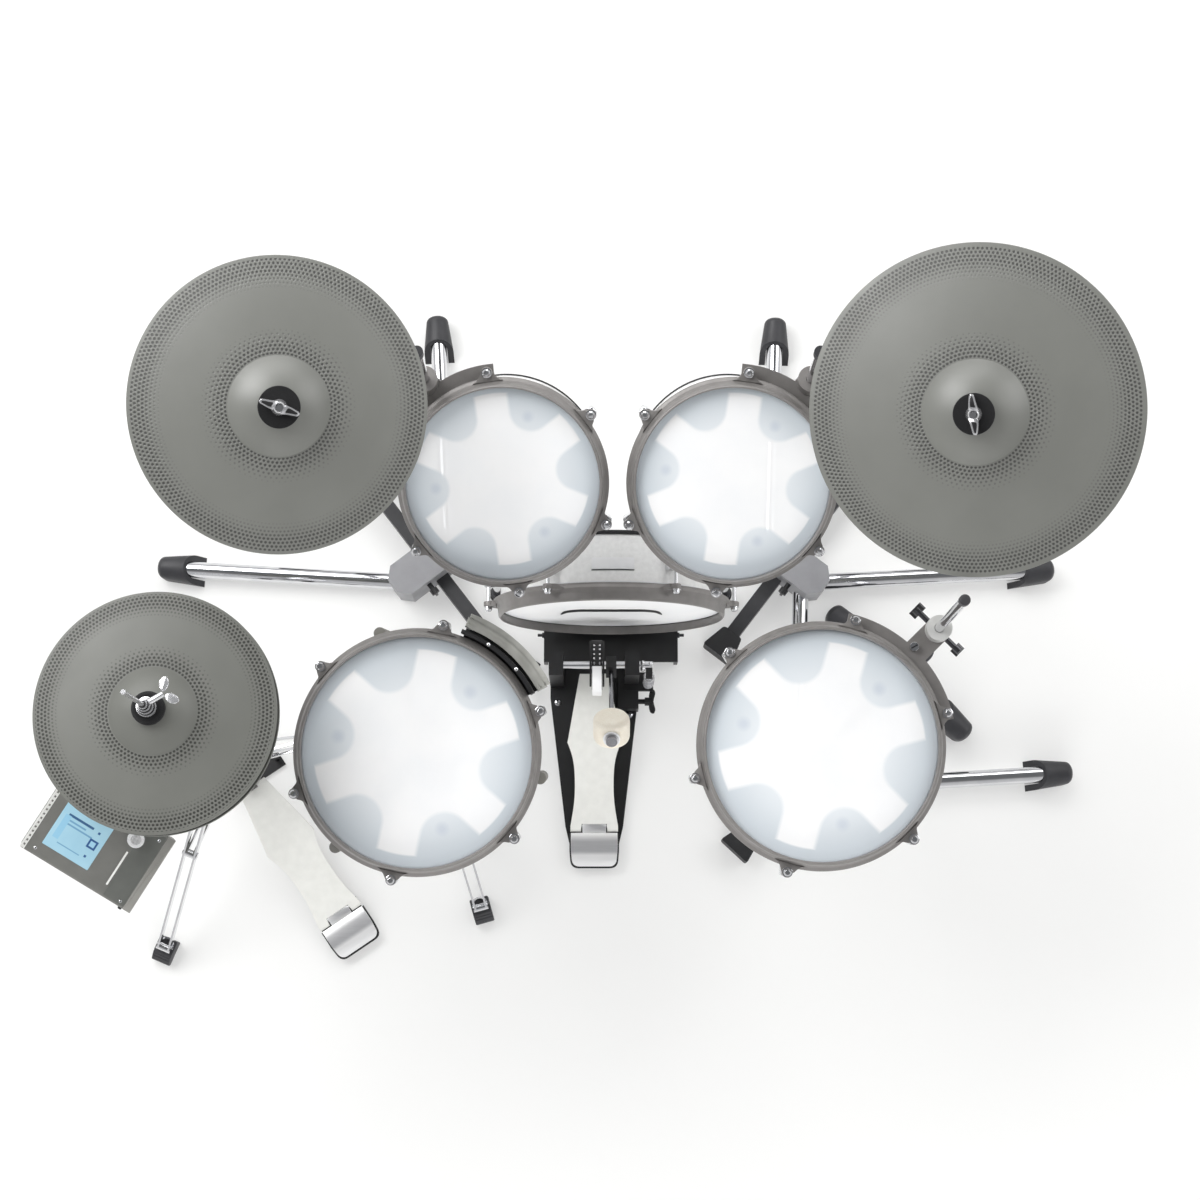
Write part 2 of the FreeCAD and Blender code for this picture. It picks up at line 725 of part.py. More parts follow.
def stand_hub(stand):
    out = -stand["out"]
    inner, outer = sorted((out * HUB_OUT, -out * HUB_IN))
    first = HUB_ALONG - HUB_LENGTH / 2
    last = HUB_ALONG + HUB_LENGTH / 2
    body = block(first, last, inner, outer, HUB_BOTTOM, HUB_TOP)
    corners = []
    for edge in body.Edges:
        upright = abs(edge.tangentAt(edge.FirstParameter).z) > 0.9
        if upright and edge.CenterOfMass.y * out > 0:
            corners.append(edge)
    body = body.makeChamfer(HUB_CHAMFER, corners)
    half = BAR_WIDTH / 2 + SEAT
    body = body.cut(block(first, last, -half, half, BAR_BOTTOM - SEAT, BAR_TOP + SEAT))
    screw = V(first, out * HUB_SCREW_IN, HUB_TOP - HUB_SCREW_DOWN)
    node("wing_screws", put(wing_bolt(screw, SIDE * -1, BOLT_STEM), stand_pose(stand)))
    return put(body, stand_pose(stand))


def low_stand(stand, linked):
    frame = stand_pose(stand)
    out = -stand["out"]
    reach = (stand["column"] - stand["foot"]).Length
    tee = reach + TEE_REACH
    bar_end = tee + TUBE_RADIUS + BAR_PAST
    bar = block(FOOT_LENGTH - BAR_END, bar_end, -BAR_WIDTH / 2, BAR_WIDTH / 2, BAR_BOTTOM, BAR_TOP)
    bar = bar.cut(along(V(tee, -TEE_SPAN, TUBE_LEVEL), V(tee, TEE_SPAN, TUBE_LEVEL), TUBE_RADIUS + SEAT))
    node("base_bars", put(bar, frame))
    grip = BAR_WIDTH / 2 + SEAT
    foot = slab([(0, -FOOT_WIDE / 2), (FOOT_LENGTH, -FOOT_NARROW / 2), (FOOT_LENGTH, FOOT_NARROW / 2),
                 (0, FOOT_WIDE / 2)], 0, FOOT_HEIGHT)
    foot = foot.cut(block(FOOT_LENGTH - BAR_END - SEAT, FOOT_LENGTH, -grip, grip,
                          BAR_BOTTOM - SEAT, BAR_TOP + SEAT))
    node("rubber_feet", put(foot, frame))
    ends = []
    for side in (-1, 1):
        tip = frame.multVec(V(tee, side * TEE_SPAN / 2, 0))
        inward = frame.multVec(V(tee, 0, 0)) - tip
        ends.append(level(tip + unit(inward) * (BOOT_LENGTH - BOOT_HOLD), TUBE_LEVEL))
        node("rubber_feet", boot(tip, inward))
    node("base_bars", hollow(ends[0], ends[1], TUBE_RADIUS, TUBE_RADIUS - TUBE_WALL))
    root = level(stand["column"], BAR_TOP)
    node("stand_tubes", hollow(root, level(root, stand["top"]), TUBE_RADIUS, TUBE_RADIUS - TUBE_WALL))
    socket = hollow(root, root + UP * COLLAR_HEIGHT, COLLAR_RADIUS, TUBE_RADIUS + SEAT)
    node("stand_clamps", socket)
    side_start = frame.multVec(V(HUB_ALONG, out * HUB_TUBE, 0))
    booted_tube(side_start, stand["side"])
    rear_start = frame.multVec(V(HUB_ALONG - HUB_SHIFT, -out * HUB_REAR, 0))
    if linked:
        rear_end = level(stand["rear"], TUBE_LEVEL)
        node("stand_tubes", chrome_tube(level(rear_start, TUBE_LEVEL), rear_end))
    else:
        booted_tube(rear_start, stand["rear"])


low_stand(LEFT_STAND, False)
low_stand(RIGHT_STAND, False)
low_stand(FLOOR_STAND, True)
for stand in (LEFT_STAND, RIGHT_STAND, FLOOR_STAND):
    node("stand_clamps", stand_hub(stand).cut(Part.makeCompound(stand_bores)))


# Cap clamped on a column's top by a wing screw.
def column_cap(top, side):
    outside = TUBE_RADIUS + CLAMP_WALL
    cap = along(top, top + UP * CLAMP_HEIGHT, outside)
    cap = cap.fuse(hollow(top - UP * CLAMP_HEIGHT, top, outside, TUBE_RADIUS + SEAT))
    grip = top - UP * (CLAMP_HEIGHT / 2)
    node("wing_screws", wing_bolt(grip + side * (outside + SEAT), side, BOLT_STEM))
    return cap.removeSplitter()


# The floor tom's rod stands in the cap of its column and ends in a small cap of its own.
column_top = level(floor_eye, FLOOR_STAND["top"])
rod_low = column_top + UP * (CLAMP_HEIGHT - FLOOR_ROD_SEAT)
rod_top = level(floor_eye, FLOOR_ROD_TOP)
rod_bore = along(rod_low, rod_top, ARM_RADIUS + SEAT)
node("stand_clamps", column_cap(column_top, floor_out).cut(rod_bore))
node("stand_tubes", along(rod_low, rod_top, ARM_RADIUS))
node("rubber_feet", along(rod_top, rod_top + UP * CAP_HEIGHT, ARM_RADIUS + CAP_WALL))


# Cymbals are shallow bows with a raised bell, z = 0 at the underside of the edge.
def cymbal(radius, bell, bow, dome):
    def side(lift):
        inner = CYMBAL_HOLE
        sag = dome * (inner / bell) ** 2
        edge = V(radius, 0, lift)
        belly = V((radius + bell) / 2, 0, lift + bow * 0.6)
        root = V(bell, 0, lift + bow)
        swell = V(bell * 0.62, 0, lift + bow + dome * 0.64)
        crown = V(inner, 0, lift + bow + dome - sag)
        return edge, belly, root, swell, crown
    low = side(0.0)
    high = side(CYMBAL_THICK)
    outline = Part.Wire([
        Part.Arc(low[0], low[1], low[2]).toShape(),
        Part.Arc(low[2], low[3], low[4]).toShape(),
        Part.LineSegment(low[4], high[4]).toShape(),
        Part.Arc(high[4], high[3], high[2]).toShape(),
        Part.Arc(high[2], high[1], high[0]).toShape(),
        Part.LineSegment(high[0], low[0]).toShape(),
    ])
    return Part.Face(outline).revolve(V(0, 0, 0), UP, 360)


def crown_height(bell, bow, dome):
    return bow + dome - dome * (CYMBAL_HOLE / bell) ** 2


def wing_nut(base):
    body = Part.makeCylinder(NUT_RADIUS, NUT_HEIGHT, V(0, 0, base))
    body = body.cut(Part.makeCylinder(POST_RADIUS + SEAT, NUT_HEIGHT, V(0, 0, base)))
    pieces = [body]
    for side in (0, 180):
        start = V(NUT_RADIUS - 2, 0, base + NUT_HEIGHT / 3)
        end = V(WING_LENGTH, 0, base + NUT_HEIGHT + WING_HEIGHT / 3)
        wing = slab([(start.x, -WING_THICK / 2), (end.x, -WING_THICK / 2), (end.x, WING_THICK / 2),
                     (start.x, WING_THICK / 2)], base + NUT_HEIGHT / 4, end.z)
        wing = wing.makeFillet(WING_ROUND, wing.Edges)
        pieces.append(turn(wing, side))
    return fused(pieces)


def leaning(at, tilt, lean):
    return pose(at, V(-math.sin(math.radians(lean)), math.cos(math.radians(lean)), 0), tilt)


def mounted_cymbal(name, tilt, radius, bell, bow, dome, stand, nut_turn):
    crown = crown_height(bell, bow, dome)
    node(name + "_cymbal", put(cymbal(radius, bell, bow, dome), tilt))
    bore = POST_RADIUS + SEAT
    under = crown - FELT_GAP
    seat = under - FELT_CONE - SEAT_HEIGHT
    lower = turned([(bore, under), (FELT_NECK, under), (SEAT_RADIUS, under - FELT_CONE),
                    (SEAT_RADIUS, seat), (bore, seat)])
    over = crown + CYMBAL_THICK + FELT_GAP
    upper = turned([(bore, over), (FELT_NECK, over), (FELT_RADIUS, over + FELT_CONE),
                    (FELT_RADIUS, over + FELT_HEIGHT), (bore, over + FELT_HEIGHT)])
    node("cymbal_felts", put(lower, tilt), put(upper, tilt))
    node("cymbal_wing_nuts", put(turn(wing_nut(over + FELT_HEIGHT), nut_turn), tilt))
    post_top = over + FELT_HEIGHT + NUT_HEIGHT + POST_PAST
    knuckle = V(0, 0, seat - TILTER_DROP / 2)
    tilter = along(knuckle - SIDE * TILTER_HALF, knuckle + SIDE * TILTER_HALF, TILTER_RADIUS)
    flange = Part.makeCylinder(FLANGE_RADIUS, FLANGE_HEIGHT, V(0, 0, seat - FLANGE_HEIGHT))
    post = along(knuckle, V(0, 0, post_top), POST_RADIUS)
    head = tilt.multVec(knuckle)
    collar_top = level(stand["column"], stand["top"])
    boom = along(collar_top + UP * (CLAMP_HEIGHT / 2), head, BOOM_RADIUS)
    arm = fused([put(fused([tilter, flange, post]), tilt), boom])
    cap = column_cap(collar_top, V(0, 1, 0))
    node("boom_arms", arm.cut(cap))
    node("stand_clamps", cap)


crash_pose = leaning(CRASH_AT, CRASH_TILT, CRASH_LEAN)
ride_pose = leaning(RIDE_AT, RIDE_TILT, RIDE_LEAN)
mounted_cymbal("crash", crash_pose, CRASH_RADIUS, CRASH_BELL, CRASH_BOW, CRASH_DOME, LEFT_STAND,
               CRASH_NUT_TURN)
mounted_cymbal("ride", ride_pose, RIDE_RADIUS, RIDE_BELL, RIDE_BOW, RIDE_DOME, RIGHT_STAND,
               RIDE_NUT_TURN)


# Snare guard: a black bracket beside the hoop with a pale wall outside it.
sweep = GUARD_TO - GUARD_FROM
band_in = SNARE_SHELL + GUARD_BAND
wall_in = SNARE_SHELL + GUARD_WALL
guard_shelf = sector(wall_in, SNARE_SHELL + SEAT, -GUARD_BOTTOM, PLATE_THICK - GUARD_BOTTOM,
                     GUARD_FROM, sweep)
guard_band = sector(band_in + PLATE_THICK, band_in, -GUARD_BOTTOM, 0, GUARD_FROM, sweep)
guard_wall = sector(wall_in + GUARD_WIDTH, wall_in + SEAT, -GUARD_BOTTOM, -GUARD_TOP, GUARD_FROM, sweep)
node("snare_guard", put(fused([guard_shelf, guard_band]), snare_pose), put(guard_wall, snare_pose))

# Snare basket: three arms on a hub, each with an upright grip and a pad under the shell.
arm_top = -SNARE_DEPTH - PAD_HEIGHT
arm_low = arm_top - BASKET_ARM
post_at = SNARE_SHELL + BASKET_POST
hub_low = arm_low - BASKET_HUB
basket = [Part.makeCylinder(BASKET_HUB, arm_top - hub_low, V(0, 0, hub_low))]
grip_top = -COLLAR - FLESH_HEIGHT - RUN
for angle in BASKET_TURNS:
    arm = block(0, post_at, -BASKET_ARM / 2, BASKET_ARM / 2, arm_low, arm_top)
    post = along(V(post_at, 0, arm_low), V(post_at, 0, grip_top - GRIP_CAP), POST_SLIM)
    basket.append(turn(arm.fuse(post), angle))
    sleeve_top = V(post_at, 0, grip_top)
    sleeve = hollow(V(post_at, 0, arm_top + SEAT), sleeve_top, GRIP_RADIUS, POST_SLIM + SEAT)
    sleeve = sleeve.fuse(along(V(post_at, 0, grip_top - GRIP_CAP + SEAT), sleeve_top, GRIP_RADIUS))
    pad = block(SNARE_SHELL - SHELL_WALL - PAD_IN, SNARE_SHELL + PAD_OUT, -BASKET_ARM / 2, BASKET_ARM / 2,
                arm_top, -SNARE_DEPTH)
    node("snare_basket", put(turn(sleeve, angle), snare_pose), put(turn(pad, angle), snare_pose))
knuckle = V(0, 0, hub_low - TILT_EYE - TILT_NECK)
tongue = block(-TILT_EYE / 2, TILT_EYE / 2, -TILT_EYE, TILT_EYE, knuckle.z, hub_low)
tongue = tongue.fuse(along(knuckle - SIDE * (TILT_EYE / 2), knuckle + SIDE * (TILT_EYE / 2), TILT_EYE))
tongue_hole = along(knuckle - SIDE * TILT_EYE, knuckle + SIDE * TILT_EYE, TILT_PIN + RUN)
node("snare_basket", put(fused(basket + [tongue]).cut(tongue_hole), snare_pose))

# Snare stand: a fork on a telescopic tube.
tilt_at = snare_pose.multVec(knuckle)
fork_base = tilt_at.z - FORK_DROP
fork_top = fork_base - FORK_FLANGE
fork = [along(level(tilt_at, fork_top), level(tilt_at, fork_base), FORK_BASE)]
for side in (-1, 1):
    inner = side * (TILT_EYE / 2 + RUN)
    outer = inner + side * CHEEK
    x0, x1 = sorted((tilt_at.x + inner, tilt_at.x + outer))
    fork.append(block(x0, x1, tilt_at.y - TILT_EYE, tilt_at.y + TILT_EYE, fork_base, tilt_at.z))
    fork.append(Part.makeCylinder(TILT_EYE, CHEEK, V(x0, tilt_at.y, tilt_at.z), SIDE))
pin_half = TILT_EYE / 2 + RUN + CHEEK + PIN_PAST
pin_start = tilt_at - SIDE * pin_half
pin_end = tilt_at + SIDE * pin_half
fork.append(along(level(tilt_at, SNARE_SPLIT - SNARE_OVERLAP), level(tilt_at, fork_top), SNARE_INNER))
fork = fused(fork).cut(along(pin_start, pin_end, TILT_PIN + SEAT))
outer_tube = hollow(level(tilt_at, SNARE_FOOT), level(tilt_at, SNARE_SPLIT), SNARE_TUBE, SNARE_INNER + SEAT)
node("snare_stand_tube", fork, along(pin_start, pin_end, TILT_PIN), outer_tube)


# A strip of flat bar between two points, standing on edge.
def strip(start, end):
    length = (end - start).Length
    bar = block(0, length, -LEG_THICK / 2, LEG_THICK / 2, -LEG_BAR / 2, LEG_BAR / 2)
    return put(bar, FreeCAD.Placement(start, FreeCAD.Rotation(SIDE, end - start)))


# Double-strip legs with double braces round a stand's tube, each on a rubber foot.
def tripod(axis, tube, reach, top, brace_level, turns):
    pin_radius = LEG_BAR / 2
    at_collar = LEG_COLLAR + pin_radius + RUN
    foot_level = RUBBER_TALL + pin_radius + RUN
    head = V(at_collar, 0, top)
    low = V(at_collar, 0, brace_level)
    end = V(reach, 0, foot_level)
    middle = head + (end - head) * BRACE_SHARE
    leg = []
    for side in (-1, 1):
        aside = V(0, side * LEG_SPREAD / 2, 0)
        leg.append(strip(head + aside, end + aside))
        inner = V(0, side * (LEG_SPREAD / 2 - LEG_THICK), 0)
        leg.append(strip(low + inner, middle + inner))
    for joint in (head, low, middle, end):
        half = V(0, LEG_SPREAD / 2 + LEG_THICK, 0)
        leg.append(along(joint - half, joint + half, pin_radius))
    leg = fused(leg)
    side = [(reach - SHOE_BACK, 0), (reach + SHOE_AHEAD, 0), (reach + SHOE_AHEAD, SHOE_TOE),
            (reach + SHOE_FLAT, RUBBER_TALL), (reach - SHOE_BACK, RUBBER_TALL)]
    foot = put(slab(side, -SHOE_HALF, SHOE_HALF), pose(V(0, 0, 0), SIDE, 90.0))
    for angle in turns:
        spread = pose(level(axis, 0), UP, angle)
        node("tripod_legs", put(leg, spread))
        node("rubber_feet", put(foot, spread))
    for height in (top, brace_level):
        collar_low = level(axis, height - COLLAR_TALL / 2)
        collar_high = level(axis, height + COLLAR_TALL / 2)
        node("stand_clamps", hollow(collar_low, collar_high, LEG_COLLAR, tube + SEAT))


tripod(HAT_AT, HAT_TUBE, HAT_LEG_REACH, HAT_LEG_TOP, HAT_BRACE, HAT_LEG_TURNS)
tripod(tilt_at, SNARE_TUBE, SNARE_LEG_REACH, SNARE_LEG_TOP, SNARE_BRACE, SNARE_LEG_TURNS)

# Hi-hat cymbals, clutch, pull rod and stand
hat_crown = crown_height(HAT_BELL, HAT_BOW, HAT_DOME)
hat_plate = cymbal(HAT_RADIUS, HAT_BELL, HAT_BOW, HAT_DOME)
lower_edge = HAT_TOP - HAT_OPEN
node("hihat_top_cymbal", put(hat_plate, pose(level(HAT_AT, HAT_TOP))))
node("hihat_bottom_cymbal", put(hat_plate, pose(level(HAT_AT, lower_edge), SIDE, 180.0)))
crown_top = HAT_TOP + hat_crown + CYMBAL_THICK
cup_low = crown_top + RUN
cup_high = cup_low + CUP_HEIGHT
clutch_top = cup_high + CLUTCH_HEIGHT
nut_top = HAT_TOP + HAT_BOW + HAT_DOME * (1 - (CLUTCH_RADIUS / HAT_BELL) ** 2) - RUN
for low, high, radius in ((cup_low, cup_high, CUP_RADIUS), (cup_high, clutch_top, CLUTCH_RADIUS),
                          (nut_top - CLUTCH_NUT, nut_top, CLUTCH_RADIUS)):
    node("hihat_clutch", hollow(level(HAT_AT, low), level(HAT_AT, high), radius, HAT_ROD + SEAT))
bolt_side = polar(1.0, CLUTCH_BOLT_TURN)
bolt_at = level(HAT_AT, clutch_top - CLUTCH_HEIGHT / 3) + bolt_side * (CLUTCH_RADIUS + SEAT)
node("hihat_clutch", wing_bolt(bolt_at, bolt_side, LONG_STEM))
cup_seat = lower_edge - hat_crown - CYMBAL_THICK - RUN
seat_low = cup_seat - CUP_HEIGHT
for low, high, radius, bore in ((seat_low, cup_seat, CUP_RADIUS, HAT_BORE),
                                (HAT_TUBE_TOP - HAT_OVERLAP, seat_low, HAT_UPPER, HAT_BORE),
                                (HAT_FOOT, HAT_TUBE_TOP, HAT_TUBE, HAT_UPPER + SEAT)):
    node("hihat_stand_tube", hollow(level(HAT_AT, low), level(HAT_AT, high), radius, bore))


# A pedal lies along +Y from its hinge: board, heel plate and hinge pin.
def footboard(length):
    wide = length * BOARD_SHOULDER
    half = [(BOARD_HEEL, 0)]
    for drawn_in, share in BOARD_WAIST:
        half.append((BOARD_HEEL - drawn_in, length * share))
    half.append((BOARD_WIDE, wide))
    right = Part.BSplineCurve()
    right.interpolate([V(x, y, 0) for x, y in half])
    left = Part.BSplineCurve()
    left.interpolate([V(-x, y, 0) for x, y in half])
    outline = Part.Wire(Part.__sortEdges__([
        right.toShape(), left.toShape(),
        Part.LineSegment(V(BOARD_WIDE, wide, 0), V(BOARD_TOE, length, 0)).toShape(),
        Part.LineSegment(V(BOARD_TOE, length, 0), V(-BOARD_TOE, length, 0)).toShape(),
        Part.LineSegment(V(-BOARD_TOE, length, 0), V(-BOARD_WIDE, wide, 0)).toShape(),
        Part.LineSegment(V(-BOARD_HEEL, 0, 0), V(BOARD_HEEL, 0, 0)).toShape(),
    ]))
    plate = Part.Face(outline).extrude(V(0, 0, BOARD_THICK))
    plate.translate(V(0, 0, -BOARD_THICK / 2))
    knuckle = along(V(-BOARD_HEEL, 0, 0), V(BOARD_HEEL, 0, 0), HINGE_RADIUS)
    notch_half = TONGUE_HALF + RUN
    notch = block(-notch_half, notch_half, -HINGE_RADIUS, HINGE_RADIUS + HEEL_GAP,
                  -HINGE_RADIUS, HINGE_RADIUS)
    hole = along(V(-BOARD_HEEL, 0, 0), V(BOARD_HEEL, 0, 0), PIN_RADIUS + RUN)
    return fused([plate, knuckle]).cut(notch).cut(hole)


def heel_plate():
    gap = HINGE_RADIUS + HEEL_GAP
    low = BASE_THICK - HINGE_Z
    top = BOARD_THICK / 2
    body = block(-HEEL_HALF, HEEL_HALF, -HEEL_LENGTH, -gap, low, top)
    corners = []
    for edge in body.Edges:
        upright = abs(edge.tangentAt(edge.FirstParameter).z) > 0.9
        if upright and edge.CenterOfMass.y < -HEEL_LENGTH + 1:
            corners.append(edge)
    body = body.makeFillet(HEEL_ROUND, corners)
    inner = HEEL_HALF - HEEL_THICK
    inside = block(-inner, inner, -HEEL_LENGTH + HEEL_SOLID, -gap, low, top - HEEL_THICK)
    tongue = block(-TONGUE_HALF, TONGUE_HALF, -gap - HEEL_HOLD, 0, -top, top)
    knuckle = along(V(-TONGUE_HALF, 0, 0), V(TONGUE_HALF, 0, 0), HINGE_RADIUS)
    pin = along(V(-BOARD_HEEL, 0, 0), V(BOARD_HEEL, 0, 0), PIN_RADIUS)
    hole = along(V(-BOARD_HEEL, 0, 0), V(BOARD_HEEL, 0, 0), PIN_RADIUS + SEAT)
    return [fused([body.cut(inside), tongue, knuckle]).cut(hole), pin]


kick_hinge = pose(V(PEDAL_X, HINGE_Y, HINGE_Z))
hat_hinge = pose(HAT_AT + polar(HAT_HINGE, HAT_PEDAL_TURN, HINGE_Z), UP, HAT_PEDAL_TURN + 90.0)
rest = pose(V(0, 0, 0), SIDE, BOARD_REST)
node("pedal_footboard", put(footboard(KICK_BOARD), kick_hinge.multiply(rest)))
tongue_tip = KICK_BOARD + KICK_TONGUE
steel_tongue = block(CAM_X - TONGUE_WIDTH / 2, CAM_X + TONGUE_WIDTH / 2, KICK_BOARD, tongue_tip,
                     -BOARD_THICK / 2, BOARD_THICK / 2)
node("pedal_footboard", put(steel_tongue, kick_hinge.multiply(rest)))
node("hihat_footboard", put(footboard(HAT_BOARD), hat_hinge.multiply(rest)))
for hinge in (kick_hinge, hat_hinge):
    for piece in heel_plate():
        node("heel_plates", put(piece, hinge))

# Hi-hat pull rod ends in a yoke over the board's toe, under the stand's frame.
toe_top = HINGE_Z + HAT_BOARD * math.sin(math.radians(BOARD_REST)) + BOARD_THICK / 2
yoke_low = toe_top + YOKE_REST
hat_frame_pose = pose(HAT_AT, UP, HAT_PEDAL_TURN + 90.0)
yoke_back = HAT_BOARD - HAT_HINGE - YOKE_HALF * 2
yoke = block(-YOKE_HALF, YOKE_HALF, yoke_back, YOKE_HALF, yoke_low, yoke_low + YOKE_TALL)
rod = along(V(0, 0, yoke_low + YOKE_TALL / 2), V(0, 0, HAT_ROD_TOP), HAT_ROD)
node("hihat_pull_rod", put(fused([yoke, rod]), hat_frame_pose))
frame_in = BOARD_WIDE + FRAME_SHEET
frame_out = frame_in + FRAME_SHEET
plate_half = frame_in + BOARD_SIDE
beam_low = HAT_FOOT - FRAME_BEAM
hat_frame = [
    block(-plate_half, plate_half, -FRAME_DEEP, FRAME_DEEP, 0, BASE_THICK),
    block(-FRAME_STRIP, FRAME_STRIP, -HAT_HINGE - HEEL_LENGTH + FRAME_TAIL, 0, 0, BASE_THICK),
    block(-frame_out, frame_out, -FRAME_DEEP / 2, FRAME_DEEP / 2, beam_low, HAT_FOOT),
]
for side in (-1, 1):
    x0, x1 = sorted((side * frame_in, side * frame_out))
    hat_frame.append(block(x0, x1, -FRAME_DEEP / 2, FRAME_DEEP / 2, 0, HAT_FOOT))
hat_frame = fused(hat_frame).cut(along(V(0, 0, beam_low), V(0, 0, HAT_FOOT), HAT_BORE))
node("hihat_stand_tube", put(hat_frame, hat_frame_pose))

# Kick pedal's base, posts, axle with cam and beater hub, strap, beater and spring.
heel_end = HINGE_Y - HEEL_LENGTH + HEEL_PAST
base_side = [(BASE_HALF, BASE_FRONT), (BASE_HALF, AXLE_Y - POST_DEEP), (BASE_HEEL, HINGE_Y),
             (HEEL_HALF - HEEL_SIDE, heel_end)]
base = slab([(-x, y) for x, y in base_side] + base_side[::-1], 0, BASE_THICK)
axle_line = along(V(-BASE_HALF, AXLE_Y, AXLE_Z), V(BASE_HALF, AXLE_Y, AXLE_Z), AXLE_RADIUS + SEAT)
base = [base]
for side in (-1, 1):
    x0, x1 = sorted((side * POST_GAP, side * (POST_GAP + POST_WIDTH)))
    post = block(x0, x1, AXLE_Y - POST_DEEP / 2, AXLE_Y + POST_DEEP / 2, 0, POST_TALL)
    base.append(post)
spring_low = SPRING_LOW - SPRING_WIRE - RUN
shelf_y = SPRING_Y - SPRING_COIL - SHELF_PAST
base.append(block(POST_GAP, SPRING_X + SPRING_COIL, shelf_y, AXLE_Y, spring_low - SPRING_SHELF, spring_low))
post_out = POST_GAP + POST_WIDTH
base.append(block(ADJUSTER_IN, post_out, ADJUSTER_FRONT, AXLE_Y, 0, ADJUSTER_TALL))
base = fused(base).cut(axle_line)
base.translate(V(PEDAL_X, 0, 0))
node("pedal_base", base)
node("wing_screws", wing_bolt(ADJUSTER_BOLT + SIDE * (PEDAL_X + post_out), SIDE, BOLT_STEM))

arm_end = SPRING_X + SPRING_ARM / 2
axle = along(V(-BASE_HALF, AXLE_Y, AXLE_Z), V(arm_end, AXLE_Y, AXLE_Z), AXLE_RADIUS)
cam = Part.makeCylinder(CAM_RADIUS, CAM_WIDTH, V(CAM_X - CAM_WIDTH / 2, AXLE_Y, AXLE_Z), SIDE)
hub_half = BEATER_HUB / 2
hub = block(BEATER_X - HUB_SLIM / 2, BEATER_X + HUB_SLIM / 2, AXLE_Y - hub_half, AXLE_Y + hub_half,
            AXLE_Z - hub_half, AXLE_Z + BEATER_HUB)
hub.rotate(V(0, AXLE_Y, AXLE_Z), SIDE, BEATER_LEAN)
lever = block(arm_end - SPRING_ARM, arm_end, SPRING_Y - LEVER_HALF, AXLE_Y,
              AXLE_Z - LEVER_HALF, AXLE_Z + LEVER_HALF)
lean = V(0, -math.sin(math.radians(BEATER_LEAN)), math.cos(math.radians(BEATER_LEAN)))
strike = V(0, math.cos(math.radians(BEATER_LEAN)), math.sin(math.radians(BEATER_LEAN)))
socket = V(BEATER_X, AXLE_Y, AXLE_Z)
shaft_start = socket + lean * (AXLE_RADIUS + SHAFT_SINK)
felt_at = socket + lean * BEATER_REACH
shaft_end = felt_at + lean * (FELT_BEATER + SHAFT_PAST)
axle = fused([axle, cam, hub, lever]).cut(along(shaft_start, shaft_end, SHAFT_RADIUS + SEAT))
shaft = along(shaft_start, shaft_end, SHAFT_RADIUS)
shaft = shaft.fuse(along(shaft_end, shaft_end + lean * SHAFT_CAP_TALL, SHAFT_CAP))
felt = along(felt_at - strike * (FELT_LONG / 2), felt_at + strike * (FELT_LONG / 2), FELT_BEATER)
felt = felt.makeFillet(FELT_ROUND, felt.Edges[:1] + felt.Edges[2:])
felt = felt.cut(along(shaft_start, shaft_end, SHAFT_RADIUS + SEAT))
for name, piece in (("pedal_axle", axle), ("beater_shaft", shaft.removeSplitter()), ("beater_head", felt)):
    piece.translate(V(PEDAL_X, 0, 0))
    node(name, piece)
strap_in = CAM_RADIUS + RUN
strap = sector(strap_in + CHAIN_THICK, strap_in, -CHAIN_WIDTH / 2, CHAIN_WIDTH / 2, 0, CHAIN_WRAP)
strap_low = HINGE_Z + tongue_tip * math.sin(math.radians(BOARD_REST)) + BOARD_THICK / 2 + CHAIN_REST
drop = block(strap_in, strap_in + CHAIN_THICK, strap_low - AXLE_Z, 0, -CHAIN_WIDTH / 2, CHAIN_WIDTH / 2)
strap = fused([strap, drop])
strap_turn = FreeCAD.Rotation(V(0, 1, 0), UP, SIDE)
node("pedal_chain", put(strap, FreeCAD.Placement(V(PEDAL_X + CAM_X, AXLE_Y, AXLE_Z), strap_turn)))


# Two tangent arcs lead from one point and heading to the next.
def biarc(start, start_way, end, end_way):
    span = end - start
    ways = start_way + end_way
    bend = 2 * (1 - start_way.dot(end_way))
    reach = (math.sqrt(span.dot(ways) ** 2 + 2 * bend * span.dot(span) / 2) - span.dot(ways)) / bend
    middle = (start + end + (start_way - end_way) * reach) * 0.5
    arcs = []
    for first, last, way in ((start, middle, start_way), (end, middle, end_way * -1)):
        chord = last - first
        inward = unit(chord - way * chord.dot(way))
        radius = chord.dot(chord) / (2 * chord.dot(inward))
        centre = first + inward * radius
        crest = centre + unit((first + last) * 0.5 - centre) * radius
        arcs.append((first, crest, last))
    arcs[1] = tuple(reversed(arcs[1]))
    return [Part.Arc(*points).toShape() for points in arcs]


def coil(radius, wire, low, high, turns):
    steps = turns * 4
    pitch = (high - low) / turns
    climb = pitch / (2 * math.pi * radius)
    spots = []
    for index in range(steps + 1):
        angle = index * 90.0
        way = unit(polar(1.0, angle + 90.0, climb))
        spots.append((polar(radius, angle, low + (high - low) * index / steps), way))
    edges = []
    for (start, start_way), (end, end_way) in zip(spots, spots[1:]):
        edges.extend(biarc(start, start_way, end, end_way))
    profile = Part.Wire(Part.makeCircle(wire, spots[0][0], spots[0][1]))
    print("least gap between the spring's turns: %.2f mm" % (pitch - 2 * wire))
    return Part.Wire(edges).makePipeShell([profile], True, False)


spring_high = AXLE_Z - LEVER_HALF - SPRING_WIRE - RUN
spring = coil(SPRING_COIL, SPRING_WIRE, SPRING_LOW, spring_high, SPRING_TURNS)
node("pedal_spring", put(spring, pose(V(PEDAL_X + SPRING_X, SPRING_Y, 0))))

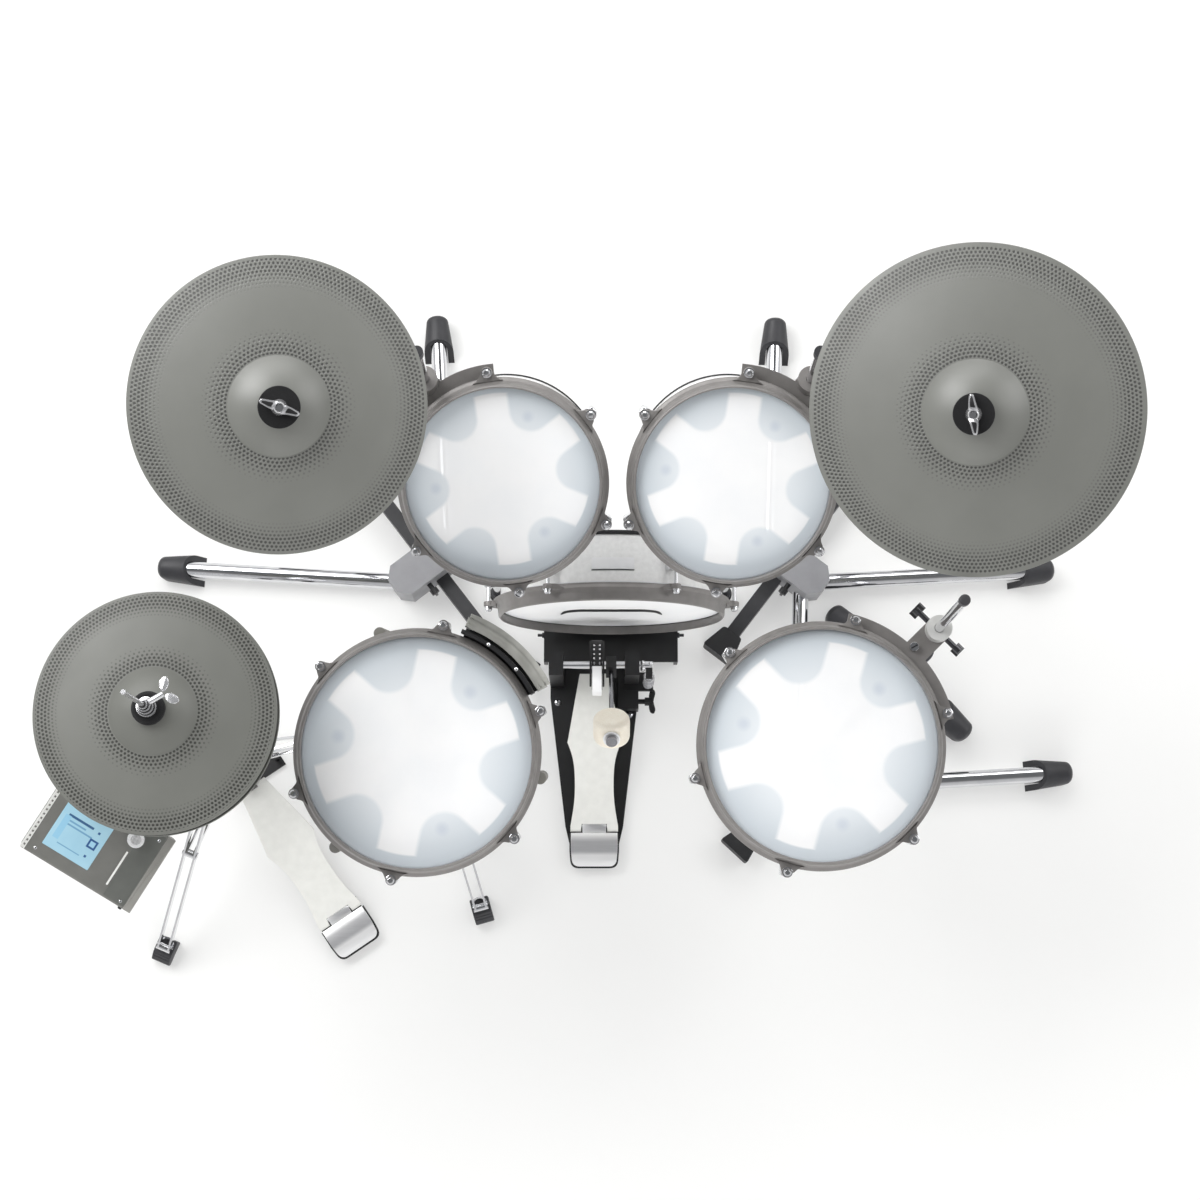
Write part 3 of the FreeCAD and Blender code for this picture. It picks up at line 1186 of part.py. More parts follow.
# Kick drum's floor frame, against the pedal's posts, and its two side spurs
frame_x = KICK_AT.x
frame_front = AXLE_Y + POST_DEEP / 2
kick_frame = [block(frame_x - FRAME_HALF, frame_x + FRAME_HALF, frame_front, FRAME_BACK,
                    FRAME_TOP - FRAME_SHEET, FRAME_TOP)]
for side in (-1, 1):
    x0, x1 = sorted((frame_x + side * FRAME_HALF, frame_x + side * (FRAME_HALF - FRAME_SHEET)))
    kick_frame.append(block(x0, x1, frame_front, FRAME_BACK, 0, FRAME_TOP))
    x0, x1 = sorted((frame_x + side * SADDLE_AT, frame_x + side * (SADDLE_AT + SADDLE_WIDE)))
    kick_frame.append(block(x0, x1, FRAME_BACK - SADDLE_DEEP, FRAME_BACK, FRAME_TOP - SADDLE_SINK,
                            KICK_AT.z))
kick_body = along(kick_pose.multVec(V(0, 0, -KICK_DEPTH)), kick_pose.multVec(V(0, 0, 0)), KICK_SHELL + SEAT)
node("kick_frame", fused(kick_frame).cut(kick_body))
for side in (-1, 1):
    angle = -SPUR_TURN if side > 0 else 180.0 + SPUR_TURN
    lump_low = LUMP_FROM - KICK_DEPTH
    lump_end = KICK_SHELL + SPUR_OUT + SPUR_RADIUS + LUMP_PAST
    lump = block(KICK_SHELL - LUG_SINK, lump_end, -LUMP_HALF, LUMP_HALF, lump_low, lump_low + LUMP_LONG)
    lump = put(turn(lump, angle), kick_pose).cut(kick_body)
    leg_at = kick_pose.multVec(polar(KICK_SHELL + SPUR_OUT, angle, lump_low + LUMP_LONG / 2))
    leg_low = level(leg_at, SPUR_FOOT - SPUR_SEAT)
    leg_high = level(leg_at, leg_at.z + SPUR_PAST)
    socket = along(leg_low, leg_high, SPUR_RADIUS + SEAT)
    node("kick_spurs", lump.cut(socket), along(leg_low, leg_high, SPUR_RADIUS))
    foot = along(level(leg_at, 0), level(leg_at, SPUR_FOOT), SPUR_RUBBER)
    node("rubber_feet", foot.cut(socket))

# Sound module on an arm from the hi-hat stand: case, screen, knob.
module_turn = pose(MODULE_AT, UP, MODULE_TURN)
module_pose = module_turn.multiply(pose(V(0, 0, 0), V(0, 1, 0), MODULE_TILT))
half_long = MODULE_LONG / 2
half_wide = MODULE_WIDE / 2
face = MODULE_THICK / 2
case = block(-half_long, half_long, -half_wide, half_wide, -face, face)
case = case.makeFillet(MODULE_ROUND, case.Edges)
screen_left = SCREEN_ALONG - SCREEN_LONG / 2
screen_right = SCREEN_ALONG + SCREEN_LONG / 2
screen_low = SCREEN_ASIDE - SCREEN_TALL / 2
screen_high = SCREEN_ASIDE + SCREEN_TALL / 2
screen = block(screen_left, screen_right, screen_low, screen_high, face - SCREEN_DEEP, face)
case = case.cut(block(screen_left - SEAT, screen_right + SEAT, screen_low - SEAT, screen_high + SEAT,
                      face - SCREEN_DEEP, face))
stem_low = V(KNOB_ALONG, KNOB_ASIDE, face - KNOB_HEIGHT)
stem_top = V(KNOB_ALONG, KNOB_ASIDE, face + RUN)
case = case.cut(along(stem_low, V(KNOB_ALONG, KNOB_ASIDE, face), KNOB_STEM + SEAT))
knob = along(stem_top, stem_top + UP * KNOB_HEIGHT, KNOB_RADIUS)
knob = knob.makeFillet(KNOB_ROUND, [knob.Edges[0]])
knob = knob.fuse(along(stem_low + UP * RUN, stem_top, KNOB_STEM)).removeSplitter()
node("module_case", put(case, module_pose))
node("module_screen", put(screen, module_pose))
node("module_knob", put(knob, module_pose))
mount_half = MOUNT_PLATE / 2
plate = block(-mount_half, mount_half, -mount_half, mount_half, -face - MOUNT_SHEET, -face)
mount = [put(plate, module_pose)]
plate_at = module_pose.multVec(V(0, 0, -face - MOUNT_SHEET / 2))
clamp_at = level(HAT_AT, MOUNT_LEVEL)
below = level(plate_at, MOUNT_LEVEL)
mount.append(along(below - UP * ARM_RADIUS, plate_at, MOUNT_STEM))
mount.append(along(clamp_at, below, ARM_RADIUS))
jaw_half = CLAMP_HEIGHT / 2
mount.append(along(clamp_at - UP * jaw_half, clamp_at + UP * jaw_half, HAT_UPPER + CLAMP_WALL))
mount = fused(mount).cut(along(clamp_at - UP * jaw_half, clamp_at + UP * jaw_half, HAT_UPPER + SEAT))
mount = mount.cut(put(block(-half_long, half_long, -half_wide, half_wide, -face, face), module_pose))
node("stand_clamps", mount)

os.makedirs("parts", exist_ok=True)
for name, solids in NODES.items():
    shape = solids[0] if len(solids) == 1 else Part.makeCompound(solids)
    shape.exportStep("parts/" + name + ".step")
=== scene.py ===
import math
from functools import partial

import bmesh
import bpy
from mathutils import Matrix, Vector


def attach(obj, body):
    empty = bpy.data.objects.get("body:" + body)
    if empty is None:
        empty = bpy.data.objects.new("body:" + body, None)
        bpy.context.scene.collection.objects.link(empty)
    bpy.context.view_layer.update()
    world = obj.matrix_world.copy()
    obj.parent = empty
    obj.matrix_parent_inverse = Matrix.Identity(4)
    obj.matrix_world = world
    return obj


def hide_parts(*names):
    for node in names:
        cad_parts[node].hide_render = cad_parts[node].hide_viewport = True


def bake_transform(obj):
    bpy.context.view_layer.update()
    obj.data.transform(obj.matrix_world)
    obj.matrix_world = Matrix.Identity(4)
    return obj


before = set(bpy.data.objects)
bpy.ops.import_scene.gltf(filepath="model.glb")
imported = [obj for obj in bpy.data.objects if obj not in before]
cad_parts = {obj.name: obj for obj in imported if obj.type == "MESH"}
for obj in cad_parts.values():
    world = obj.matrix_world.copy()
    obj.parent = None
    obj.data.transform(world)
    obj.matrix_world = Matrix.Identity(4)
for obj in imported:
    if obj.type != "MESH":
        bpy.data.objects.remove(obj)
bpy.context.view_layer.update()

# Studio: a pale floor under wide soft lamps, seen from high above the player's side.
# The lamps stand at the sides, so polished metal shows bright flanks and a darker ridge.
scene = bpy.context.scene
scene.view_settings.view_transform = "Standard"
WHITE = (1, 1, 1, 1)
FLOOR_SIZE = 16
FLOOR_DROP = 0.0005
FLOOR_GLOW = 0.36
HORIZON = (0.75, 0.75, 0.75, 1)
ZENITH = (0.16, 0.165, 0.17, 1)
SKY_LEVELS = ((0.45, 0.62), (0.72, 0.55), (0.86, 0.2))
SKY_BLUE = 1.01
KIT_MIDDLE = (0, 0, 0.5)
KIT_FRONT = (0, 0, 0.3)


def tone(code):
    parts = [int(code[i:i + 2], 16) / 255 for i in (0, 2, 4)]
    linear = [p / 12.92 if p <= 0.04045 else ((p + 0.055) / 1.055) ** 2.4 for p in parts]
    return (*linear, 1.0)


def grow(tree, kind, values=None, **settings):
    made = tree.nodes.new("ShaderNode" + kind)
    for key, value in settings.items():
        setattr(made, key, value)
    for key, value in (values or {}).items():
        if isinstance(value, bpy.types.NodeSocket):
            tree.links.new(value, made.inputs[key])
        else:
            made.inputs[key].default_value = value
    return made


def math_node(tree, operation, *terms):
    return grow(tree, "Math", dict(enumerate(terms)), operation=operation).outputs[0]


def mix_color(tree, share, first, second):
    return grow(tree, "Mix", {0: share, 6: first, 7: second}, data_type="RGBA").outputs[2]


def finish(name, **values):
    made = bpy.data.materials.new(name)
    made.use_nodes = True
    shader = made.node_tree.nodes["Principled BSDF"]
    for key, value in values.items():
        shader.inputs[key.replace("_", " ")].default_value = value
    return made, made.node_tree, shader


def link(tree, source, target):
    tree.links.new(source, target)


floor_paint, tree, shader = finish(
    "studio_floor", Base_Color=tone("f4f4f2"), Roughness=0.9, Specular_IOR_Level=0.0)
ray = grow(tree, "LightPath").outputs
seen = math_node(tree, "MAXIMUM", ray["Is Camera Ray"], ray["Is Glossy Ray"])
seen = math_node(tree, "MAXIMUM", seen, ray["Is Transmission Ray"])
share = math_node(tree, "MULTIPLY", seen, FLOOR_GLOW)
glow = grow(tree, "Emission", {"Color": WHITE, "Strength": 1.0})
lit_floor = grow(tree, "MixShader", {0: share, 1: shader.outputs[0], 2: glow.outputs[0]})
link(tree, lit_floor.outputs[0], tree.nodes["Material Output"].inputs["Surface"])
bpy.ops.mesh.primitive_plane_add(size=FLOOR_SIZE, location=(0, 0, -FLOOR_DROP))
floor = bpy.context.object
floor.name = "studio_floor"
floor.data.materials.append(floor_paint)

world = bpy.data.worlds.new("studio_air")
world.use_nodes = True
scene.world = world
tree = world.node_tree
upward = grow(tree, "SeparateXYZ", {0: grow(tree, "TexCoord").outputs["Generated"]}).outputs["Z"]
sky = grow(tree, "ValToRGB", {0: upward})
sky.color_ramp.elements[0].color = HORIZON
sky.color_ramp.elements[1].color = ZENITH
for height, level in SKY_LEVELS:
    sky.color_ramp.elements.new(height).color = (level, level, level * SKY_BLUE, 1)
backdrop = mix_color(tree, grow(tree, "LightPath").outputs["Is Camera Ray"], sky.outputs[0], WHITE)
link(tree, backdrop, tree.nodes["Background"].inputs["Color"])


def lamp(name, place, target, size, power, mirrored=True):
    data = bpy.data.lights.new(name, "AREA")
    data.shape = "RECTANGLE"
    data.size, data.size_y = size
    data.energy = power
    made = bpy.data.objects.new(name, data)
    made.location = place
    made.visible_glossy = mirrored
    made.rotation_euler = (Vector(target) - Vector(place)).to_track_quat("-Z", "Y").to_euler()
    scene.collection.objects.link(made)


lamp("left_softbox", (-2.1, 1.3, 3.4), KIT_MIDDLE, (2.4, 2.4), 114)
lamp("right_softbox", (2.7, 0.9, 2.8), KIT_MIDDLE, (2.2, 2.2), 36)
lamp("rear_softbox", (0.0, 3.0, 3.0), KIT_MIDDLE, (3.0, 1.6), 50)
lamp("front_softbox", (0.3, -3.2, 0.9), KIT_FRONT, (3.0, 1.2), 60, mirrored=False)

camera = bpy.data.objects.new("camera", bpy.data.cameras.new("camera"))
camera.data.lens = 73.5
camera.data.sensor_width = 36
camera.location = (0.004, -0.573, 3.840)
camera.rotation_euler = (math.radians(9.27), 0, 0)
scene.collection.objects.link(camera)
scene.camera = camera


# Low stands: dark coated bars with rubber ends, chrome tubes and cast clamps.
# Each clamp is drawn up on its tubes by a black wing screw.
COAT_BUMP = 0.35
CLOUD_SHARE = 0.6
CREASE = 32.0
WELD = 0.00005
ON_AXIS, NO_LENGTH = 1e-6, 1e-7
CORNER_SHARE = 0.45
# A bevel fails where an outline turns by less than about two degrees, so arcs take longer steps.
FINEST_TURN = 2.4
HUB_FLOOR, HUB_TOP = 0.01, 0.09
FLOOR_GAP = 0.0004
HAT = Vector((-0.550, -0.220, 0.0))
SNARE_STAND = Vector((-0.236, -0.2315, 0.0))
FLOOR_TOM_ROD = Vector((0.44904, -0.09168, 0.0))
BOOT_LENGTH, BOOT_HEIGHT, BOOT_SLANT = 0.072, 0.042, 0.029
BOOT_TIP_HALF, BOOT_WIDENING = 0.0160, 0.0075
BOOT_CAVITY_START, BOOT_CAVITY_HEIGHT, BOOT_CAVITY_HALF = 0.005, 0.0367, 0.0137
BOOT_ROWS, BOOT_CROWDING = 18, 1.5
NOSE_START, NOSE_SHARE, NOSE_HEIGHT = 0.002, 0.2, 0.55
# Each boot's tip on the floor, and the turn of the tube or bar that runs in from it.
BOOTS = ((-0.2739, 0.3638, -142.59), (-0.5066, 0.1858, 37.41), (-0.695, 0.102, -3.47),
         (-0.258, 0.512, -86.71), (0.5426, 0.1858, 142.59), (0.3099, 0.3638, -37.41),
         (0.722, 0.098, -177.04), (0.286, 0.509, -92.15), (0.5799, -0.1662, 136.89),
         (0.366, 0.034, -43.11), (0.741, -0.223, -176.57))
BAR_ENDS = ((-0.151, -0.038, 127.41), (0.187, -0.038, 52.59), (0.211, -0.346, 46.89))
BAR_END_HEIGHT = 0.046
TRIPODS = ((HAT, 0.297, (-113.0, 14.0, 127.0)), (SNARE_STAND, 0.208, (-74.4, 54.5, 172.0)))
SHOE_BACK, SHOE_HEIGHT, SHOE_HALF = 0.015, 0.030, 0.0145
SLOPE_START, SLOPE = 0.010, 0.014
SPUR_FEET = (-0.1569, 0.1989)
SPUR_FOOT_Y = 0.062


def effect(name, takes, gives):
    tree = bpy.data.node_groups.new(name, "ShaderNodeTree")
    for label, value in takes.items():
        kind = "NodeSocketColor" if isinstance(value, tuple) else "NodeSocketFloat"
        tree.interface.new_socket(label, in_out="INPUT", socket_type=kind).default_value = value
    for label, kind in gives.items():
        tree.interface.new_socket(label, in_out="OUTPUT", socket_type="NodeSocket" + kind)
    return tree, tree.nodes.new("NodeGroupInput").outputs, tree.nodes.new("NodeGroupOutput").inputs


def use(tree, group, **values):
    return grow(tree, "Group", values, node_tree=group).outputs


def stretch(tree, value, low, high, to_low=0.0, to_high=1.0):
    terms = {"Value": value, "From Min": low, "From Max": high, "To Min": to_low, "To Max": to_high}
    return grow(tree, "MapRange", terms).outputs[0]


def noise(tree, scale, detail=3.0, vector=None, distortion=0.0):
    place = vector or grow(tree, "TexCoord").outputs["Object"]
    terms = {"Vector": place, "Scale": scale, "Detail": detail, "Distortion": distortion}
    return grow(tree, "TexNoise", terms).outputs["Fac"]


def bump(tree, shader, height, strength, depth):
    made = grow(tree, "Bump", {"Height": height, "Strength": strength, "Distance": depth})
    link(tree, made.outputs[0], shader.inputs["Normal"])


uneven, takes, gives = effect(
    "uneven_coat",
    {"Color": tone("808080"), "Shade": tone("707070"), "Scale": 40.0, "Grain": 900.0, "Rough": 0.4,
     "Spread": 0.1},
    {"Color": "Color", "Roughness": "Float", "Height": "Float"})
calc = partial(math_node, uneven)
cloud = stretch(uneven, noise(uneven, takes["Scale"]), 0.3, 0.7)
fine = noise(uneven, takes["Grain"], 2.0)
lift = calc("SUBTRACT", calc("MULTIPLY", cloud, CLOUD_SHARE), CLOUD_SHARE / 2)
lift = calc("ADD", lift, calc("SUBTRACT", fine, 0.5))
link(uneven, mix_color(uneven, cloud, takes["Color"], takes["Shade"]), gives["Color"])
link(uneven, calc("MULTIPLY_ADD", lift, takes["Spread"], takes["Rough"]), gives["Roughness"])
link(uneven, fine, gives["Height"])


def clouded(tree, color, shade, scale, **values):
    return use(tree, uneven, Color=tone(color), Shade=tone(shade), Scale=scale, **values)


def coated(name, color, shade, rough, spread, relief, scale=40.0, grain=900.0, **values):
    made, tree, shader = finish(name, **values)
    coat = clouded(tree, color, shade, scale, Grain=grain, Rough=rough, Spread=spread)
    link(tree, coat["Color"], shader.inputs["Base Color"])
    link(tree, coat["Roughness"], shader.inputs["Roughness"])
    bump(tree, shader, coat["Height"], COAT_BUMP, relief)
    return made


chrome = coated("polished_chrome", "e4e4e6", "d6d7da", 0.07, 0.05, 0.00002, Metallic=1.0)
dark_coat = coated("dark_powder_coat", "343437", "2c2c2e", 0.46, 0.12, 0.00012, grain=1600.0)
black_coat = coated("black_powder_coat", "1e1e20", "161617", 0.42, 0.12, 0.0001, grain=1600.0)
black_rubber = coated("black_rubber", "353538", "2d2d30", 0.5, 0.14, 0.00015, grain=1300.0)
dull_rubber = coated("dull_rubber", "222224", "1b1b1d", 0.62, 0.12, 0.0002, grain=1300.0)
cast_grey = coated("cast_clamp", "57575a", "4b4b4e", 0.4, 0.1, 0.00012, grain=1400.0, Metallic=0.3)
# The hubs take a lighter copy of the clamp grey, painted light matched to their lit tops.
hub_lit_grey = coated("hub_casting", "8e8e91", "858588", 0.42, 0.1, 0.00012, grain=1400.0)


def dress(material, *names):
    for name in names:
        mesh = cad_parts[name].data
        mesh.materials.clear()
        mesh.materials.append(material)


def paint_faces(name, material, where):
    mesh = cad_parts[name].data
    mesh.materials.append(material)
    for face in mesh.polygons:
        if where(face.center):
            face.material_index = len(mesh.materials) - 1


def paint_solids(name, material, where):
    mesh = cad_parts[name].data
    mesh.materials.append(material)
    spots = [tuple(round(c / WELD) for c in v.co) for v in mesh.vertices]
    owner = {spot: spot for spot in spots}

    def head_of(spot):
        while owner[spot] != spot:
            owner[spot] = owner[owner[spot]]
            spot = owner[spot]
        return spot

    for face in mesh.polygons:
        for corner in face.vertices[1:]:
            owner[head_of(spots[corner])] = head_of(spots[face.vertices[0]])
    solids = {}
    for face in mesh.polygons:
        solids.setdefault(head_of(spots[face.vertices[0]]), []).append(face)
    for faces in solids.values():
        places = [mesh.vertices[corner].co for face in faces for corner in face.vertices]
        low = Vector([min(place[axis] for place in places) for axis in range(3)])
        high = Vector([max(place[axis] for place in places) for axis in range(3)])
        if where(low, high):
            for face in faces:
                face.material_index = len(mesh.materials) - 1


def piece(name, work, material, body, place=Matrix(), limit=CREASE):
    bmesh.ops.dissolve_degenerate(work, dist=NO_LENGTH, edges=work.edges[:])
    bmesh.ops.recalc_face_normals(work, faces=work.faces)
    work.normal_update()
    for face in work.faces:
        face.smooth = True
    for edge in work.edges:
        if len(edge.link_faces) == 2 and edge.calc_face_angle(0.0) > math.radians(limit):
            edge.smooth = False
    mesh = bpy.data.meshes.new(name)
    work.to_mesh(mesh)
    work.free()
    mesh.materials.append(material)
    made = bpy.data.objects.new(name, mesh)
    scene.collection.objects.link(made)
    made.matrix_world = place
    if body:
        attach(made, body)
    return made


def moved(x=0.0, y=0.0, z=0.0):
    return Matrix.Translation((x, y, z))


def turned(angle, axis="Z"):
    return Matrix.Rotation(math.radians(angle), 4, axis)


def join_rings(work, low, high):
    count = max(len(low), len(high))
    faces = []
    for step in range(count):
        after = (step + 1) % count
        if len(low) == 1:
            corners = (low[0], high[step], high[after])
        elif len(high) == 1:
            corners = (low[step], low[after], high[0])
        else:
            corners = (low[step], low[after], high[after], high[step])
        faces.append(work.faces.new(corners))
    return faces


def lathe(work, profile, segments=128, place=Matrix(), closed=False, capped=True):
    turns = [2 * math.pi * step / segments for step in range(segments)]
    rings = []
    for radius, height in profile:
        spots = [(radius * math.cos(turn), radius * math.sin(turn), height) for turn in turns]
        if radius < ON_AXIS:
            spots = [(0, 0, height)]
        rings.append([work.verts.new(place @ Vector(spot)) for spot in spots])
    for low, high in zip(rings, rings[1:]):
        join_rings(work, low, high)
    if closed:
        join_rings(work, rings[-1], rings[0])
    elif capped:
        for ring in (rings[0], rings[-1]):
            if len(ring) > 1:
                work.faces.new(ring)


def rounded(corners, radius, steps=4, axis=False):
    path = []
    for index, corner in enumerate(corners):
        here = Vector(corner)
        if axis and here.x == 0.0:
            path.append(here)
            continue
        before = Vector(corners[index - 1])
        after = Vector(corners[(index + 1) % len(corners)])
        reach = min(radius, (before - here).length * CORNER_SHARE, (after - here).length * CORNER_SHARE)
        first = here + (before - here).normalized() * reach
        last = here + (after - here).normalized() * reach
        for step in range(steps + 1):
            share = step / steps
            path.append(first * (1 - share) ** 2 + here * 2 * share * (1 - share) + last * share ** 2)
    return [tuple(point) for point in path]


def pin(radius, low, high, edge, steps=2):
    return rounded([(0.0, low), (radius, low), (radius, high), (0.0, high)], edge, steps, True)


def slab(work, outline, low, high, edge=0.0, steps=2, place=Matrix()):
    base = [work.verts.new(place @ Vector((x, y, low))) for x, y in outline]
    top = [work.verts.new(place @ Vector((x, y, high))) for x, y in outline]
    ends = [work.faces.new(base[::-1]), work.faces.new(top)]
    join_rings(work, base, top)
    if edge:
        rim = [e for end in ends for e in end.edges]
        bmesh.ops.bevel(work, geom=rim, offset=edge, segments=steps, profile=0.5, affect="EDGES")


def box(width, depth):
    x, y = width / 2, depth / 2
    return [(-x, -y), (x, -y), (x, y), (-x, y)]


def sector(inner, outer, start, stop, most=24):
    steps = min(most, int((stop - start) / FINEST_TURN))
    turns = [math.radians(start + (stop - start) * step / steps) for step in range(steps + 1)]
    near = [(inner * math.cos(turn), inner * math.sin(turn)) for turn in turns]
    far = [(outer * math.cos(turn), outer * math.sin(turn)) for turn in reversed(turns)]
    return near + far


def arch(half, tall, steps=14):
    knee = (tall - half) / 2
    turns = [math.pi * step / steps for step in range(steps + 1)]
    crown = [(half * math.cos(turn), tall - half + half * math.sin(turn)) for turn in turns]
    return [(half, 0.0), (half, knee), *crown, (-half, knee), (-half, 0.0)]


def boot(work, place):
    outside = (0.0, BOOT_HEIGHT, BOOT_TIP_HALF + BOOT_WIDENING)
    cavity = (BOOT_CAVITY_START, BOOT_CAVITY_HEIGHT, BOOT_CAVITY_HALF)
    rows = []
    for step in range(BOOT_ROWS + 1):
        share = (step / BOOT_ROWS) ** BOOT_CROWDING
        nose = math.sqrt(1 - (1 - min(1.0, (share + NOSE_START) / NOSE_SHARE)) ** 2)
        row = []
        for start, tall, widest in (outside, cavity):
            half = min(widest, BOOT_TIP_HALF + BOOT_WIDENING * share) * nose
            wall = arch(half, tall * (NOSE_HEIGHT + (1 - NOSE_HEIGHT) * nose))
            for y, z in wall[::-1] if start else wall:
                x = start + share * (BOOT_LENGTH - BOOT_SLANT * z / BOOT_HEIGHT - start)
                row.append(work.verts.new(place @ Vector((x, y, z + FLOOR_GAP))))
        rows.append(row)
    for first, last in zip(rows, rows[1:]):
        join_rings(work, first, last)
    front, back = rows[0], rows[-1]
    count = len(front) // 2
    sill = (front[0], front[count - 1], front[count], front[-1])
    for corners in (front[:count], front[count:], sill):
        work.faces.new(corners)
    for step in range(count - 1):
        work.faces.new((back[step], back[step + 1], back[-2 - step], back[-1 - step]))


dress(dark_coat, "base_bars")
dress(chrome, "stand_tubes", "tripod_legs", "boom_arms")
dress(black_coat, "wing_screws")
dress(cast_grey, "stand_clamps")
paint_solids("stand_clamps", hub_lit_grey, lambda low, high: low.z < HUB_FLOOR and high.z < HUB_TOP)
feet, wedges, clips = bmesh.new(), bmesh.new(), bmesh.new()
for x, y, turn in BOOTS:
    boot(feet, moved(x, y) @ turned(turn))
wedge = rounded([(0.0, -0.027), (0.042, -0.017), (0.042, 0.017), (0.0, 0.027)], 0.004)
for x, y, turn in BAR_ENDS:
    slab(wedges, wedge, FLOOR_GAP, BAR_END_HEIGHT, 0.0025, 3, moved(x, y) @ turned(turn))
toe = SLOPE_START + SLOPE
flank = [(-SHOE_BACK, FLOOR_GAP), (toe, FLOOR_GAP), (toe, SHOE_HEIGHT - SLOPE), (SLOPE_START, SHOE_HEIGHT),
         (-SHOE_BACK, SHOE_HEIGHT)]
for centre, reach, turns in TRIPODS:
    for turn in turns:
        shoe = Matrix.Translation(centre) @ turned(turn) @ moved(reach)
        slab(feet, rounded(flank, 0.002, 3), -SHOE_HALF, SHOE_HALF, 0.0018, 3, shoe @ turned(90, "X"))
        for share in (0.3, 0.6):
            rib = shoe @ moved(SLOPE_START + SLOPE * share, 0, SHOE_HEIGHT - SLOPE * share) @ turned(45, "Y")
            slab(feet, box(0.0022, 0.0276), -0.0008, 0.0008, 0.0004, 2, rib)
        slab(clips, sector(0.0098, 0.0128, 78.0, 282.0), 0.014, 0.0326, 0.0008, 2, shoe @ moved(-0.004))
spur_foot = [(0.0062, FLOOR_GAP), (0.014, FLOOR_GAP), (0.014, 0.012), (0.0115, 0.014), (0.0115, 0.030),
             (0.0062, 0.030)]
for x in SPUR_FEET:
    lathe(feet, rounded(spur_foot, 0.0012, 3), 40, moved(x, SPUR_FOOT_Y), closed=True)
lathe(feet, pin(0.0071, 0.8802, 0.894, 0.0025, 4), 32, Matrix.Translation(FLOOR_TOM_ROD))
rubber = piece("rubber_ends", feet, black_rubber, "stands", limit=40.0)
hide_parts("rubber_feet")
piece("bar_ends", wedges, dull_rubber, "stands")
piece("shoe_clips", clips, chrome, "stands")


# Drums: white wrapped shells under taupe die-cast hoops, drawn down by chrome screws.
# The two-ply mesh heads carry painted shade from the pale sensor plates inside: darker lobes and pad spots,
# and a darker rim.
SIXTH = math.pi / 3
ARM_END, PAD_CENTRE = 0.776, 0.70
FLARE_COS, FLARE_SIN = 0.866, 0.5
HEAD_RINGS = (0.0, 0.12, 0.3, 0.5, 0.7, 0.85, 0.95)
HEAD_OVER, HEAD_COLLAR, HEAD_SKIRT, HEAD_TURN_IN = 0.001, 0.004, 0.015, 0.013
RACK_STAR_LIFT = 0.006
HOOP_BORE = -0.0014
SCREWS = 6
SCREW_STEP = 360 / SCREWS
SCREW_CIRCLE = 0.018
EAR_HALF, EAR_LOW, EAR_HIGH = 0.0072, -0.012, -0.0042
CASING_LOW, CASING_HIGH = -0.062, -0.034
SCREW_RADIUS, WASHER_LOW, WASHER_HIGH = 0.0029, -0.004, -0.0024
PAD_SHARE = 0.66
# Each drum's middle of the head, tilt, shell radius and depth, turn of its first screw, and body.
DRUMS = {
    "left_tom": ((-0.122, 0.087, 0.730), 20.0, 0.127, 0.150, 38.0, "left_tom"),
    "right_tom": ((0.176, 0.087, 0.730), 20.0, 0.127, 0.150, 22.0, "right_tom"),
    "floor_tom": ((0.293, -0.246, 0.660), 4.0, 0.1524, 0.165, 14.4, "floor_tom"),
    "snare": ((-0.236, -0.253, 0.640), 6.5, 0.1524, 0.130, 18.5, "snare"),
    "kick": ((0.021, 0.001, 0.235), 90.0, 0.1651, 0.088, 0.0, "stands"),
}
white_wrap = coated("white_wrap", "f2f2f1", "e8e8e7", 0.42, 0.16, 0.00018, scale=160.0, grain=650.0,
                    Coat_Weight=0.25, Coat_Roughness=0.2)
taupe_cast = coated("taupe_hoop", "858280", "7c7977", 0.38, 0.08, 0.00008, scale=60.0, grain=1200.0,
                    Metallic=0.25)
sensor_plastic = coated("sensor_plate", "b3bcc6", "a9b3be", 0.55, 0.1, 0.0001)
foam_blue = coated("sensor_foam", "8f9cac", "8592a3", 0.85, 0.1, 0.0004, grain=500.0)


def object_spot(tree):
    return grow(tree, "SeparateXYZ", {0: grow(tree, "TexCoord").outputs["Object"]}).outputs


def length_of(tree, *terms):
    squares = [math_node(tree, "MULTIPLY", term, term) for term in terms]
    return math_node(tree, "SQRT", math_node(tree, "ADD", *squares))


weave, takes, gives = effect("mesh_weave", {"Threads": 1400.0}, {"Height": "Float"})
calc = partial(math_node, weave)
spot = object_spot(weave)
pace = calc("MULTIPLY", takes["Threads"], 2 * math.pi)
waves = [calc("SINE", calc("MULTIPLY", spot[axis], pace)) for axis in ("X", "Y")]
link(weave, calc("MULTIPLY", *waves), gives["Height"])

# Masks for painted shade on the heads: the sensor plate's lobes, the share of the radius out to the hoop,
# and the pad spots.
star, takes, gives = effect(
    "star_shade", {"Reach": 0.15, "Lift": 0.0, "Turn": 0.0},
    {"PlateShade": "Float", "Share": "Float", "PadShade": "Float"})
calc = partial(math_node, star)
spot = object_spot(star)
aside = calc("SUBTRACT", spot["Y"], takes["Lift"])
share = calc("DIVIDE", length_of(star, spot["X"], aside), takes["Reach"])
turn = calc("SUBTRACT", calc("ARCTAN2", aside, spot["X"]), takes["Turn"])
lobe = calc("ROUND", calc("DIVIDE", turn, SIXTH))
fold = calc("SUBTRACT", turn, calc("MULTIPLY", lobe, SIXTH))
along = calc("MULTIPLY", share, calc("COSINE", fold))
beside = calc("ABSOLUTE", calc("MULTIPLY", share, calc("SINE", fold)))
ahead = calc("SUBTRACT", along, ARM_END)
slide = calc("ADD", calc("MULTIPLY", ahead, FLARE_COS), calc("MULTIPLY", beside, FLARE_SIN))
